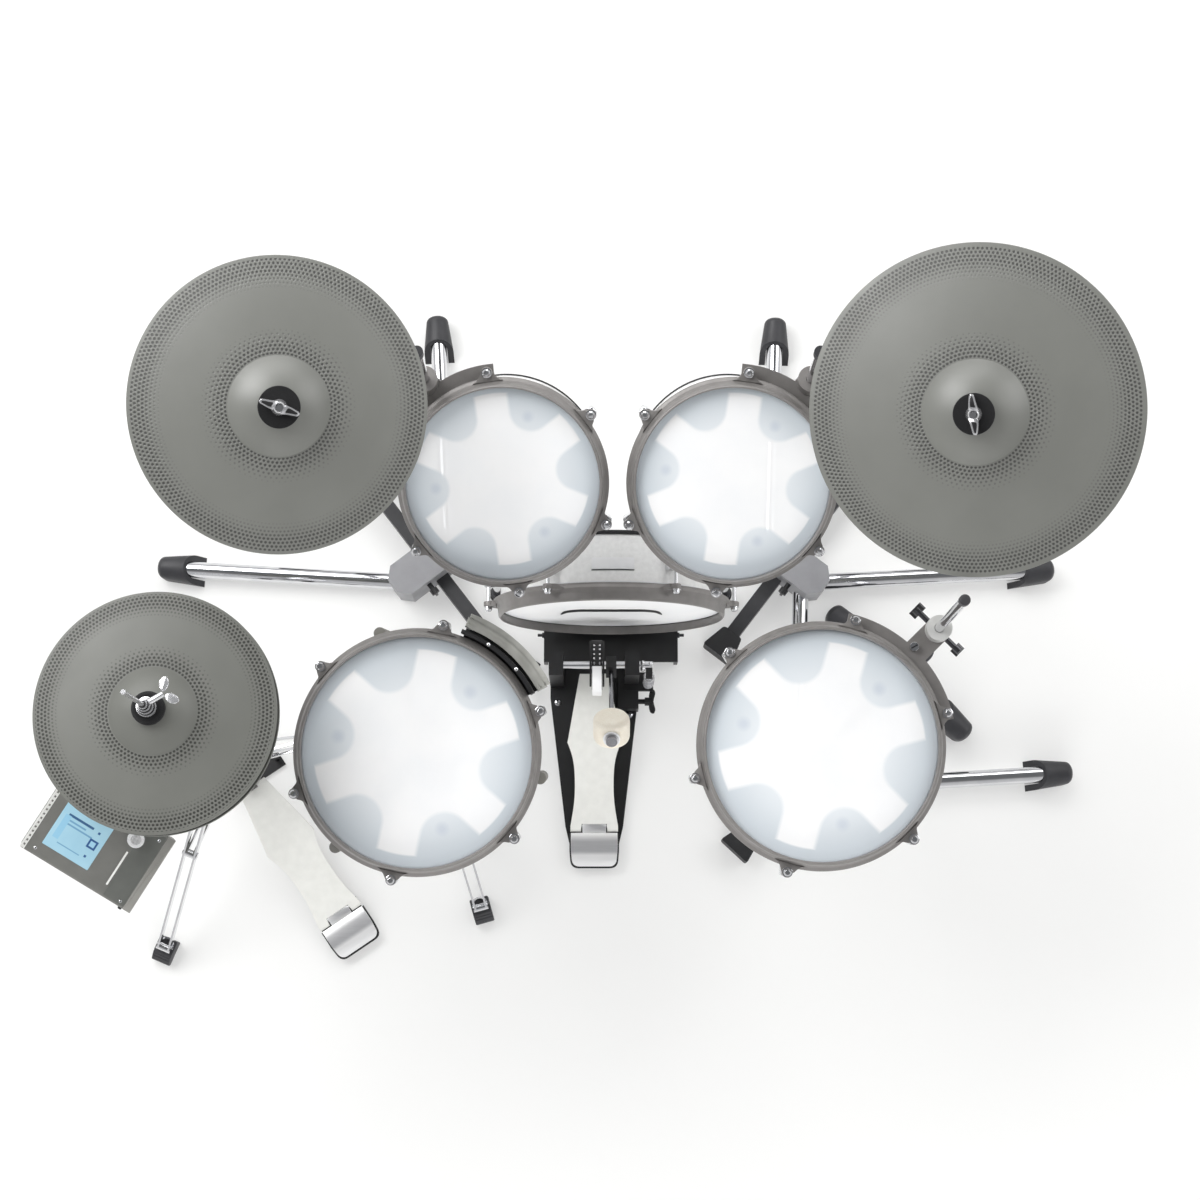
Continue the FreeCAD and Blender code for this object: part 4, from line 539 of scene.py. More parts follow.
apart = calc("SUBTRACT", calc("MULTIPLY", beside, FLARE_COS), calc("MULTIPLY", ahead, FLARE_SIN))
flank = calc("MAXIMUM", apart, 0.0)
round_end = length_of(star, ahead, beside)
gap = grow(star, "Mix", {0: calc("LESS_THAN", slide, 0.0), 2: flank, 3: round_end}).outputs[0]
plate = calc("MAXIMUM", stretch(star, gap, 0.236, 0.200), stretch(star, share, 0.886, 0.904))
off_pad = length_of(star, calc("SUBTRACT", along, PAD_CENTRE), beside)
every_other = calc("GREATER_THAN", calc("COSINE", calc("MULTIPLY", turn, 3.0)), 0.0)
link(star, plate, gives["PlateShade"])
link(star, share, gives["Share"])
link(star, calc("MULTIPLY", stretch(star, off_pad, 0.075, 0.02), every_other), gives["PadShade"])


def mesh_ply(name, reach, lift, first, plate_shaded):
    made, tree, shader = finish(name, Roughness=0.55, Alpha=0.95, Specular_IOR_Level=0.3)
    shade = use(tree, star, Reach=reach, Lift=lift, Turn=math.radians(first + SCREW_STEP / 2))
    cloud = stretch(tree, noise(tree, 14.0), 0.35, 0.65)
    body = mix_color(tree, cloud, tone("f2f2f2"), tone("eeeff0"))
    if plate_shaded:
        # Painted shade over the plate: its lobes darken towards the rim, and the pads show as darker spots.
        under = mix_color(tree, stretch(tree, shade["Share"], 0.5, 0.97), tone("e3e7ea"), tone("c9d1d7"))
        under = mix_color(tree, shade["PadShade"], under, tone("cbd2da"))
        body = mix_color(tree, shade["PlateShade"], body, under)
    # Painted shade: every head, the kick's too, darkens towards its hoop.
    rim = stretch(tree, shade["Share"], 0.90, 1.0)
    edge = tone("c9d0d6" if plate_shaded else "e6e8ea")
    link(tree, mix_color(tree, rim, body, edge), shader.inputs["Base Color"])
    bump(tree, shader, use(tree, weave)["Height"], 0.25, 0.00012)
    return made


def drum_place(name):
    middle, tilt = DRUMS[name][:2]
    return moved(*middle) @ turned(tilt, "X")


def drum_head(name, place, radius, first, body):
    lift = RACK_STAR_LIFT if name in ("left_tom", "right_tom") else 0.0
    ply = mesh_ply(name + "_ply", radius + HOOP_BORE, lift, first, name != "kick")
    work = bmesh.new()
    profile = [(radius * share, 0.0) for share in HEAD_RINGS]
    for angle in range(0, 91, 15):
        out, up = math.sin(math.radians(angle)), math.cos(math.radians(angle))
        profile.append((radius + HEAD_OVER + HEAD_COLLAR * (out - 1), HEAD_COLLAR * (up - 1)))
    profile.append((radius + HEAD_OVER, -HEAD_SKIRT))
    lathe(work, profile, 144, capped=False)
    head = piece(name + "_mesh", work, ply, body, place)
    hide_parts(name + "_head")


def drum_hoop(name, place, radius, first, body):
    work = bmesh.new()
    section = [(HOOP_BORE, 0.0006), (0.0016, 0.0006), (0.0016, EAR_LOW), (0.011, EAR_LOW), (0.011, -0.0092),
               (0.0062, -0.006), (0.0036, 0.001), (0.003, 0.0108), (0.0008, 0.013), (-0.0004, 0.013),
               (HOOP_BORE, 0.0116)]
    profile = [(radius + out, height) for out, height in section]
    lathe(work, rounded(profile, 0.0012, 3), 144, closed=True)
    screw = radius + SCREW_CIRCLE
    root = radius + 0.0055
    flare = [(root, -0.020), (root + 0.006, -0.0115), (screw - 0.003, -EAR_HALF)]
    turns = [math.radians(angle) for angle in range(0, 181, 20)]
    tip = [(screw + EAR_HALF * math.sin(turn), -EAR_HALF * math.cos(turn)) for turn in turns]
    ear = flare + tip + [(x, -y) for x, y in reversed(flare)]
    for index in range(SCREWS):
        slab(work, ear, EAR_LOW, EAR_HIGH, 0.0016, 3, turned(first + SCREW_STEP * index))
    hoop = piece(name + "_rim", work, taupe_cast, body, place, 40.0)
    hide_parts(name + "_hoop")


def drum_lugs(name, place, radius, first, body):
    work = bmesh.new()
    screw = radius + SCREW_CIRCLE
    wall, shoulder, nose = radius - 0.0005, radius + 0.013, screw + 0.0065
    casing = [(wall, -0.008), (shoulder, -0.008), (nose, -0.0055), (nose, 0.0055), (shoulder, 0.008),
              (wall, 0.008)]
    rod = [(SCREW_RADIUS, CASING_HIGH), (SCREW_RADIUS, WASHER_LOW)]
    washer = [(0.0, WASHER_LOW), (0.0068, WASHER_LOW), (0.0068, -0.0028), (0.0055, WASHER_HIGH),
              (0.0, WASHER_HIGH)]
    crown = [(0.0, WASHER_HIGH), (0.0054, WASHER_HIGH), (0.0054, 0.0006), (0.0036, 0.0024), (0.0, 0.0026)]
    key = rounded(box(0.0062, 0.0062), 0.0009, 2)
    for index in range(SCREWS):
        spin = turned(first + SCREW_STEP * index)
        at = spin @ moved(screw)
        slab(work, rounded(casing, 0.003, 3), CASING_LOW, CASING_HIGH, 0.0022, 3, spin)
        lathe(work, rod, 20, at)
        lathe(work, washer, 32, at)
        lathe(work, crown, 32, at)
        slab(work, key, 0.0018, 0.003, 0.0004, 2, at @ turned(45))
    lugs = piece(name + "_tension_lugs", work, chrome, body, place)
    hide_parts(name + "_lugs")


def drum_pads(name, place, radius, first, body):
    work = bmesh.new()
    cone = [(0.0, -0.0045), (0.0035, -0.005), (0.0062, -0.014), (0.0085, -0.026)]
    for index in range(SCREWS):
        lathe(work, cone, 28, turned(first + SCREW_STEP * index) @ moved(radius * PAD_SHARE))
    pads = piece(name + "_sensor_pads", work, foam_blue, body, place)


def lower_edge(name, place, radius, depth, body):
    work = bmesh.new()
    section = [(-0.0085, -0.001), (0.0018, -0.001), (0.0018, 0.0055), (0.0004, 0.0055), (0.0004, 0.0002),
               (-0.0085, 0.0002)]
    trim = [(radius + out, height - depth) for out, height in section]
    lathe(work, rounded(trim, 0.0005, 2), 128, closed=True)
    piece(name + "_edge_trim", work, black_coat, body, place)


for name, (_, _, radius, depth, first, body) in DRUMS.items():
    place = drum_place(name)
    drum_head(name, place, radius, first, body)
    drum_hoop(name, place, radius, first, body)
    drum_lugs(name, place, radius, first, body)
    lower_edge(name, place, radius, depth, body)
    dress(white_wrap, name + "_shell")
    if name != "kick":
        drum_pads(name, place, radius, first + SCREW_STEP / 2, body)
        dress(sensor_plastic, name + "_sensor_plate")


# Tom brackets: a taupe cast plate held under two tension screws, with an upright eye.
# On the rack toms a chrome rod with a black end cap passes the eye, held by a chrome wing bolt.
# The floor tom's eye is pale, slides on the stand's rod and is held by dark wing bolts.
ROD_PASSES, CAP_LOW = (0.80, 0.85), 0.88
BOLT_LENGTH, FLOOR_TOM_BOLT_LENGTH = 0.045, 0.05
EYE_RADIUS = 0.0174
BRACKET_TURN, BRACKET_OUT, BRACKET_TOP = 46.4, 0.180, -0.0242
SLOT_TURN = -18.0
dark_chrome = coated("dark_chrome", "6e6e70", "5c5c5f", 0.24, 0.08, 0.00004, Metallic=1.0)
pale_cast = coated("pale_cast", "dededc", "d2d2cf", 0.34, 0.10, 0.0001, Metallic=0.3)


def longest(low, high):
    return max(high - low)


def is_rod_or_bolt(low, high):
    return low.z < ROD_PASSES[0] and high.z > ROD_PASSES[1] or longest(low, high) < BOLT_LENGTH


def in_eye(at):
    return math.hypot(at.x - FLOOR_TOM_ROD.x, at.y - FLOOR_TOM_ROD.y) < EYE_RADIUS


for node in ("left_tom_bracket", "right_tom_bracket"):
    dress(taupe_cast, node)
    paint_solids(node, chrome, is_rod_or_bolt)
    paint_solids(node, black_rubber, lambda low, high: low.z > CAP_LOW)
dress(taupe_cast, "floor_tom_bracket")
paint_solids("floor_tom_bracket", dark_chrome, lambda low, high: longest(low, high) < FLOOR_TOM_BOLT_LENGTH)
paint_faces("floor_tom_bracket", pale_cast, in_eye)
screw = drum_place("floor_tom") @ turned(BRACKET_TURN) @ moved(BRACKET_OUT, 0, BRACKET_TOP)
work = bmesh.new()
lathe(work, pin(0.0060, 0.0, 0.010, 0.0010, 3), 32, screw)
piece("bracket_screw", work, chrome, "floor_tom")
# The screw's slot is a dark sheet on its head: painted shade of the groove.
work = bmesh.new()
slab(work, rounded(box(0.0092, 0.0018), 0.0006, 2), 0.0096, 0.0102, 0.0, 2, screw @ turned(SLOT_TURN))
piece("bracket_screw_slot_shade", work, black_coat, "floor_tom")


# Snare guard and basket: a black bracket beside the hoop carries a pale ribbed wall.
# Three chrome arms with grey rubber grips hold the shell, on a fork and a chrome tube.
GUARD_FROM, GUARD_TO, GUARD_FLOOR = 27.0, 70.0, -0.058
GUARD_SCREW_TURNS, GUARD_SCREW_OUT = (40.0, 56.5), 0.017
GRIP_LENGTH = 0.16
# Each band's inner and outer reach past the shell, its ends' inset, its low and high edges, its rounding.
BRACKET_BANDS = ((0.0006, 0.024, 0.5, GUARD_FLOOR, -0.052, 0.0012, 2),
                 (0.014, 0.020, 0.0, -0.0575, 0.0, 0.0016, 3))
WALL_BANDS = ((0.0242, 0.0300, 0.0, GUARD_FLOOR, -0.034, 0.002, 3),
              (0.0292, 0.0385, 0.0, GUARD_FLOOR, -0.0375, 0.003, 3),
              (0.0376, 0.0438, 0.6, GUARD_FLOOR, -0.036, 0.002, 3))
pale_wall = coated("pale_guard_wall", "c6c6c0", "a6a6a0", 0.48, 0.12, 0.0002, scale=30.0, grain=700.0)
grip_grey = coated("grip_rubber", "8f8d89", "828079", 0.7, 0.1, 0.0002, grain=1100.0)
snare_place, snare_radius = drum_place("snare"), DRUMS["snare"][2]


def guard_bands(bands):
    work = bmesh.new()
    for inner, outer, inset, low, high, edge, steps in bands:
        band = sector(snare_radius + inner, snare_radius + outer, GUARD_FROM + inset, GUARD_TO - inset)
        slab(work, band, low, high, edge, steps)
    return work


guard = piece("guard_bracket", guard_bands(BRACKET_BANDS), black_coat, "snare", snare_place)
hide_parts("snare_guard")
wall = piece("guard_wall", guard_bands(WALL_BANDS), pale_wall, "snare", snare_place)
work = bmesh.new()
button = [(0.0, 0.0014), (0.0016, 0.0012), (0.0026, 0.0004), (0.0026, -0.001)]
for turn in GUARD_SCREW_TURNS:
    lathe(work, button, 20, turned(turn) @ moved(snare_radius + GUARD_SCREW_OUT))
piece("guard_screws", work, chrome, "snare", snare_place)
dress(chrome, "snare_basket", "snare_stand_tube")
paint_solids("snare_basket", grip_grey, lambda low, high: longest(low, high) < GRIP_LENGTH)


# Cymbals: rubber-skinned plastic bows with a plain bell, pressed with rings of small dimples that carry
# painted shade.
# They rock on black felts and are held by chrome wing nuts on the boom's threaded post.
CYMBAL_THICK, CYMBAL_HOLE = 0.004, 0.0048
DIMPLE_SPACING = 0.0052
SMALLEST_DIMPLE, DIMPLE_GROWTH = 0.0010, 0.0008
FELT_BORE, FELT_LIP, SEAT_RADIUS, WASHER_RADIUS = 0.0043, 0.0052, 0.020, 0.025
SEAT_DROP, WASHER_RISE = 0.0009, 0.0049
SEAT_HEIGHT, WASHER_HEIGHT = 0.014, 0.013
dimples, takes, gives = effect(
    "dimple_rings", {"Pitch": 0.0046, "Count": 200.0}, {"Apart": "Float", "Reach": "Float"})
calc = partial(math_node, dimples)
spot = object_spot(dimples)
flat = grow(dimples, "CombineXYZ", {0: spot["X"], 1: spot["Y"]}).outputs[0]
reach = grow(dimples, "VectorMath", {0: flat}, operation="LENGTH").outputs["Value"]
turn = calc("DIVIDE", calc("ARCTAN2", spot["Y"], spot["X"]), 2 * math.pi)
rows = calc("DIVIDE", reach, takes["Pitch"])
ring = calc("FLOOR", rows)
stagger = calc("MULTIPLY", calc("MODULO", ring, 2.0), 0.5)
around = calc("FRACT", calc("MULTIPLY_ADD", turn, takes["Count"], stagger))
arm = calc("DIVIDE", calc("MULTIPLY", reach, 2 * math.pi), takes["Count"])
aside = calc("MULTIPLY", calc("SUBTRACT", around, 0.5), arm)
across = calc("MULTIPLY", calc("SUBTRACT", calc("SUBTRACT", rows, ring), 0.5), takes["Pitch"])
link(dimples, length_of(dimples, aside, across), gives["Apart"])
link(dimples, reach, gives["Reach"])


def cymbal_skin(name, radius, bell, gloss):
    made, tree, shader = finish(name, Specular_IOR_Level=gloss)
    calc = partial(math_node, tree)
    coat = clouded(tree, "71726d", "6b6c67", 14.0, Grain=1500.0, Rough=0.44, Spread=0.1)
    rim_band = (radius * 0.77, radius * 0.89, radius * 0.978)
    bell_band = (bell * 1.55, bell * 1.22, bell * 1.016)
    dimple_depths_and_shades = []
    for far, near, end in (rim_band, bell_band):
        dots = use(tree, dimples, Count=round((near + end) * math.pi / DIMPLE_SPACING))
        stop = stretch(tree, dots["Reach"], end, end + (near - end) * 0.04)
        fade = calc("MULTIPLY", stretch(tree, dots["Reach"], far, near), stop)
        size = calc("MULTIPLY_ADD", fade, DIMPLE_GROWTH, SMALLEST_DIMPLE)
        dot = stretch(tree, calc("DIVIDE", dots["Apart"], size), 1.15, 0.7)
        dimple_depths_and_shades.append(calc("MULTIPLY", dot, fade))
    dimple_depth_and_shade = calc("MAXIMUM", *dimple_depths_and_shades)
    # Painted shade: each dimple is darkened in the colour as well as sunk by the bump.
    link(tree, mix_color(tree, dimple_depth_and_shade, coat["Color"], tone("343431")), shader.inputs["Base Color"])
    link(tree, coat["Roughness"], shader.inputs["Roughness"])
    bump(tree, shader, calc("SUBTRACT", calc("MULTIPLY", coat["Height"], 0.12), dimple_depth_and_shade), 0.6, 0.0008)
    return made


def arc(first, middle, last, steps):
    (ax, ay), (bx, by), (cx, cy) = first, middle, last
    a, b, c = ax * ax + ay * ay, bx * bx + by * by, cx * cx + cy * cy
    d = 2 * (ax * (by - cy) + bx * (cy - ay) + cx * (ay - by))
    ux = (a * (by - cy) + b * (cy - ay) + c * (ay - by)) / d
    uy = (a * (cx - bx) + b * (ax - cx) + c * (bx - ax)) / d
    radius = math.hypot(ax - ux, ay - uy)
    start, stop = math.atan2(ay - uy, ax - ux), math.atan2(cy - uy, cx - ux)
    stop = start + math.remainder(stop - start, 2 * math.pi)
    turns = [start + (stop - start) * step / steps for step in range(steps + 1)]
    return [(ux + radius * math.cos(turn), uy + radius * math.sin(turn)) for turn in turns]


def cymbal(name, radius, bell, bow, dome, place, body, gloss=0.9):
    crown = bow + dome - dome * (CYMBAL_HOLE / bell) ** 2
    under = arc((radius, 0.0), ((radius + bell) / 2, bow * 0.6), (bell, bow), 16)
    under += arc((bell, bow), (bell * 0.62, bow + dome * 0.64), (CYMBAL_HOLE, crown), 12)[1:]
    over = [(r, z + CYMBAL_THICK) for r, z in reversed(under)]
    edge = [(radius - 0.0008, 0.0), (radius - 0.0001, 0.0006), (radius, 0.0014)]
    under[:1] = edge[::-1]
    over[-1:] = [(r, CYMBAL_THICK - z) for r, z in edge]
    work = bmesh.new()
    lathe(work, under + over, 192, closed=True)
    made = piece(name + "_bow", work, cymbal_skin(name + "_skin", radius, bell, gloss), body, place, 24.0)
    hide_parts(name + "_cymbal")
    return crown


def leaning(at, tilt, lean):
    level = Vector((-math.sin(math.radians(lean)), math.cos(math.radians(lean)), 0))
    return moved(*at) @ turned(tilt, level)


# Each cymbal's radius, bell radius, rise of the bow and of the bell, place, and turn of its wing nut.
CYMBALS = {
    "crash": (0.1778, 0.060, 0.022, 0.026, leaning((-0.379, 0.125, 1.000), 17.6, -61.0), -30.0),
    "ride": (0.2032, 0.064, 0.025, 0.028, leaning((0.461, 0.133, 0.940), 20.0, -124.0), 84.5),
}
felt, takes, gives = effect("felt_fibre", {"Scale": 900.0, "Distortion": 1.6}, {"Fibre": "Float"})
link(felt, noise(felt, takes["Scale"], 6.0, distortion=takes["Distortion"]), gives["Fibre"])
black_felt, tree, shader = finish("black_felt", Roughness=0.95, Sheen_Weight=0.05, Sheen_Roughness=0.5)
fibre = use(tree, felt)["Fibre"]
dark_wool = mix_color(tree, stretch(tree, fibre, 0.3, 0.7), tone("0a0a0b"), tone("171719"))
link(tree, dark_wool, shader.inputs["Base Color"])
bump(tree, shader, fibre, 0.9, 0.0007)
satin_chrome = coated("satin_chrome", "f0f0f1", "e4e4e7", 0.24, 0.08, 0.00004, Metallic=0.85)
felts, nuts, hollow_shades = bmesh.new(), bmesh.new(), bmesh.new()


def wing_nut(base, place):
    section = [(0.0045, 0.0), (0.0092, 0.0), (0.0096, 0.0012), (0.0078, 0.006), (0.0066, 0.0125),
               (0.0056, 0.0134), (0.0045, 0.0134)]
    lathe(nuts, [(out, base + height) for out, height in section], 40, place, closed=True)
    wing = [(0.0046, -0.0062), (0.0110, -0.0030), (0.0205, 0.0006), (0.0236, 0.0020), (0.0242, 0.0058),
            (0.0216, 0.0072), (0.0115, 0.0070), (0.0046, 0.0062)]
    hollow_shade_outline = [(0.0086, -0.0018), (0.0112, -0.0006), (0.0202, 0.0026), (0.0222, 0.0042), (0.0208, 0.0054),
              (0.0118, 0.0052), (0.0086, 0.0044)]
    for side in (0, 180):
        spin = place @ turned(side)
        slab(nuts, rounded(wing, 0.0016), base + 0.0040, base + 0.0135, 0.0007, 2, spin)
        # A dark sheet over each wing's hollow is painted shade.
        slab(hollow_shades, rounded(hollow_shade_outline, 0.0010, 3), base + 0.0120, base + 0.0137, 0.0002, 2, spin)


def felt_ring(face, radius, slope, height, place):
    profile = [(FELT_BORE, face), (FELT_LIP, face), (radius, face + slope), (radius, face + height),
               (FELT_BORE, face + height)]
    lathe(felts, rounded(profile, 0.0018), 72, place, closed=True)


for name, (radius, bell, bow, dome, place, nut_turn) in CYMBALS.items():
    crown = cymbal(name, radius, bell, bow, dome, place, name)
    felt_ring(crown - SEAT_DROP, SEAT_RADIUS, -0.008, -SEAT_HEIGHT, place)
    felt_ring(crown + WASHER_RISE, WASHER_RADIUS, 0.008, WASHER_HEIGHT, place)
    wing_nut(crown + WASHER_RISE + WASHER_HEIGHT, place @ turned(nut_turn))
felt_pieces = piece("cymbal_felt_washers", felts, black_felt, "stands")
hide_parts("cymbal_felts")
nut_pieces = piece("cymbal_nuts", nuts, satin_chrome, "stands", limit=40.0)
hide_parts("cymbal_wing_nuts")
piece("cymbal_nut_hollow_shades", hollow_shades, black_coat, "stands")


# Kick drum: the same wrapped shell laid on its side, on a black steel floor frame with two spurs.
# A bare bright plate is bent to the shell's top, and the head carries a dark curved strip.
FRAME_BOLTS = ((-0.084, -90), (0.126, 90))
FRAME_BOLT_Y, FRAME_BOLT_Z = -0.0067, 0.026
SPUR_LEG_HEIGHT = 0.1
PLATE_FROM, PLATE_TO, PLATE_LOW, PLATE_HIGH = 79.0, 100.0, -0.0490, -0.0325
LINE_OVERLAP, LINE_LOW, LINE_HIGH = 0.2, -0.0318, -0.0308
STRIP_CREST, STRIP_FOOT = 0.002, -0.052
bright_plate = coated("bright_plate", "f2f2f3", "e8e8ea", 0.32, 0.08, 0.00005, grain=1800.0, Metallic=0.12)
dress(black_coat, "kick_frame", "kick_spurs")
paint_solids("kick_spurs", chrome, lambda low, high: high.z - low.z > SPUR_LEG_HEIGHT)
work = bmesh.new()
stepped = [(0.0, 0.0), (0.0042, 0.0), (0.0042, 0.003), (0.0024, 0.003), (0.0024, 0.010), (0.0, 0.010)]
for x, turn in FRAME_BOLTS:
    at = moved(x, FRAME_BOLT_Y, FRAME_BOLT_Z) @ turned(turn, "Y")
    lathe(work, rounded(stepped, 0.0006, 2, True), 24, at)
piece("frame_bolts", work, black_coat, "stands")
kick_place, kick_radius = drum_place("kick"), DRUMS["kick"][2]
work = bmesh.new()
bent = sector(kick_radius + 0.0003, kick_radius + 0.0016, PLATE_FROM, PLATE_TO)
slab(work, bent, PLATE_LOW, PLATE_HIGH, 0.0005)
plate = piece("kick_plate", work, bright_plate, "stands", kick_place)
# A thin dark strip along the plate's front edge is painted shadow of the plate.
work = bmesh.new()
bent = sector(kick_radius + 0.0002, kick_radius + 0.0011, PLATE_FROM - LINE_OVERLAP, PLATE_TO + LINE_OVERLAP)
slab(work, bent, LINE_LOW, LINE_HIGH, 0.0003)
piece("kick_plate_edge_shadow", work, black_coat, "stands", kick_place)


def mirrored(path):
    return [(-x, y) for x, y in reversed(path)]


outer = [(0.052, STRIP_CREST), (0.072, STRIP_CREST - 0.016), (0.078, STRIP_FOOT)]
inner = [(0.066, STRIP_CREST - 0.028), (0.050, STRIP_CREST - 0.019)]
work = bmesh.new()
slab(work, rounded(mirrored(outer) + outer + inner + mirrored(inner), 0.012, 5), 0.0002, 0.0008)
piece("kick_head_strip", work, black_coat, "stands", kick_place)


# Hi-hat: two dimpled bows, the lower one upside down on a cup, the upper one held by a clutch.
# The black cup and ringed chrome barrel grip the pull rod with one chrome wing bolt.
HAT_FORM = (0.1524, 0.055, 0.016, 0.024)
HAT_TOP, HAT_BOTTOM, HAT_GLOSS = 0.805, 0.786, 0.4
CLUTCH_BORE, CUP_RISE, CUP_HEIGHT = 0.0032, 0.0043, 0.014
WING_BOLT_HEIGHT, WING_BOLT_TURN, WING_REACH = 0.0227, 30.0, 0.0312
PEDAL_FRAME_TOP, SEAT_CUP_LOW, PULL_YOKE_TOP = 0.117, 0.735, 0.10
RINGS, RING_PITCH, RING_HEIGHT, SPACER_TOP = 4, 0.0084, 0.0064, 0.0080
RING_RADIUS, RING_TAPER, SPACER_INSET = 0.0124, 0.0022, 0.0012


def upright(height):
    return Matrix.Translation(HAT + Vector((0, 0, height)))


def ring_section(radius, low, high):
    return [(CLUTCH_BORE, low), (radius, low), (radius, high), (CLUTCH_BORE, high)]


hat_crown = cymbal("hihat_top", *HAT_FORM, upright(HAT_TOP), "hat_top", HAT_GLOSS)
cymbal("hihat_bottom", *HAT_FORM, upright(HAT_BOTTOM) @ turned(180, "X"), "stands", HAT_GLOSS)
cup = HAT_TOP + hat_crown + CUP_RISE
barrel = cup + CUP_HEIGHT
cup_section = [(CLUTCH_BORE, cup), (0.021, cup), (0.021, cup + 0.008), (0.0165, barrel),
               (CLUTCH_BORE, barrel)]
work = bmesh.new()
lathe(work, rounded(cup_section, 0.0025), 64, upright(0), closed=True)
lathe(work, rounded(ring_section(0.012, cup - 0.0135, cup - 0.0055), 0.001, 2), 40, upright(0), closed=True)
cup_piece = piece("clutch_cup", work, black_felt, "hat_top")
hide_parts("hihat_clutch")
work, spacers = bmesh.new(), bmesh.new()
for step in range(RINGS):
    low = barrel + step * RING_PITCH
    radius = RING_RADIUS - step * RING_TAPER
    ring = ring_section(radius, low, low + RING_HEIGHT)
    spacer = ring_section(radius - SPACER_INSET, low + RING_HEIGHT, low + SPACER_TOP)
    lathe(work, rounded(ring, 0.0006, 2), 48, upright(0), closed=True)
    lathe(spacers, spacer, 48, upright(0), closed=True)
piece("clutch_spacers", spacers, black_coat, "hat_top")
bolt = upright(barrel + WING_BOLT_HEIGHT) @ turned(WING_BOLT_TURN) @ turned(90, "Y")
lathe(work, pin(0.0038, 0.008, 0.0275, 0.0008), 24, bolt)
lobe = [(0.0015, -0.002), (0.0055, -0.0045), (0.0135, -0.0030), (0.0185, 0.0030), (0.0180, 0.0095),
        (0.0120, 0.0105), (0.0045, 0.0060)]
for outline in (lobe, mirrored(lobe)):
    flat = bolt @ moved(0, 0, WING_REACH) @ turned(90) @ turned(90, "X")
    slab(work, rounded(outline, 0.004), -0.0018, 0.0018, 0.0011, 3, flat)
piece("clutch_barrel", work, satin_chrome, "hat_top", limit=40.0)
dress(chrome, "hihat_stand_tube")
dress(satin_chrome, "hihat_pull_rod")
paint_faces("hihat_stand_tube", black_coat, lambda at: at.z < PEDAL_FRAME_TOP or at.z > SEAT_CUP_LOW)
paint_faces("hihat_pull_rod", black_coat, lambda at: at.z < PULL_YOKE_TOP)


# Pedals: white satin boards hinged on brushed heel plates, over black steel bases.
# The kick pedal's strap runs over a cam on a chrome axle that also carries the beater.
HINGE_HEIGHT = 0.020
HAT_PEDAL_TURN, HAT_PEDAL_REACH = -56.0, 0.2665
BOARD_TILT = 13.0
# Half the board's width, at shares of its length from the hinge.
BOARD_SIDE = ((0.0, 0.0370), (0.05, 0.0350), (0.10, 0.0330), (0.15, 0.0314), (0.20, 0.0304), (0.26, 0.0300),
              (0.32, 0.0302), (0.37, 0.0308), (0.40, 0.0315), (0.44, 0.0330), (0.48, 0.0354),
              (0.515, 0.0382), (0.55, 0.0415), (1.0, 0.0225))
BOARD_BACK, NOTCH_HALF, NOTCH_DEPTH = -0.0085, 0.0203, 0.0046
HEEL_FRONT, HEEL_WAIST, HEEL_TAIL = -0.0106, -0.038, -0.0624
HEEL_HALF, TAIL_HALF, TAIL_STEPS = 0.0362, 0.0340, 6
FOLD_START, FOLD_LENGTH, FOLD_SLOPE, FOLDS = -0.034, 0.012, 0.27, 4
LINER_RIM = 0.0024
AXLE = Vector((-0.005, -0.068, 0.130))
AXLE_RADIUS = 0.0063
SHAFT_X, SHAFT_LEAN, BEATER_REACH = 0.021, 42.0, 0.165
STRAP_SHIFT, STRAP_NEAR, STRAP_FAR, STRAP_HALF = 0.0044, 0.0384, 0.0422, 0.007
LINK_LOW, LINK_PITCH, LINK_ROWS = -0.0425, 0.00445, 11
STUD_TURNS, STUD_SIDE = (86.0, 96.0, 106.0, 116.5, 127.0), 0.0044
BASE_SCREWS = ((-0.0626, -0.1114, 0.006), (0.0506, -0.1306, 0.006))
LEVER_BOLTS = ((0.0693, -0.0657, 0.1365), (0.0818, -0.0671, 0.1365), (0.0694, -0.0748, 0.1345))
ADJUSTER = (0.0845, -0.112, 0.028)
SPRING_X, SPRING_Y, SPRING_LOW, SPRING_LENGTH = 0.079, -0.086, 0.046, 0.0788
COILS, COIL_STEPS, COIL_RADIUS, WIRE_RADIUS, WIRE_SIDES = 14, 28, 0.008, 0.00095, 8
white_satin = coated("white_satin_board", "ecece7", "e5e5e0", 0.5, 0.14, 0.00012, scale=70.0, grain=1500.0)
shaft_metal = coated("shaft_steel", "a9a9ad", "9b9b9f", 0.24, 0.08, 0.00004, Metallic=1.0)
black_strap = coated("black_strap", "232325", "19191a", 0.55, 0.12, 0.0003, grain=1400.0)
spring_wire = coated("spring_steel", "c9c9cc", "b9b9bd", 0.2, 0.08, 0.00003, Metallic=1.0)

heel_metal, tree, shader = finish("brushed_heel", Metallic=0.5)
squeeze = {0: grow(tree, "TexCoord").outputs["Object"], 1: (0.03, 1.0, 1.0)}
lines = noise(tree, 900.0, 2.0, grow(tree, "VectorMath", squeeze, operation="MULTIPLY").outputs["Vector"])
facing = grow(tree, "SeparateXYZ", {0: grow(tree, "NewGeometry").outputs["Normal"]}).outputs["Z"]
brush = mix_color(tree, lines, tone("b4b4b6"), tone("cdcdcf"))
# Painted highlight: the brushed grey turns near white where the plate folds down.
brush_and_fold_highlight = mix_color(tree, stretch(tree, facing, 0.994, 0.972), brush, tone("fbfbfb"))
link(tree, brush_and_fold_highlight, shader.inputs["Base Color"])
link(tree, stretch(tree, lines, 0.2, 0.8, 0.30, 0.46), shader.inputs["Roughness"])
bump(tree, shader, lines, 0.3, 0.00008)

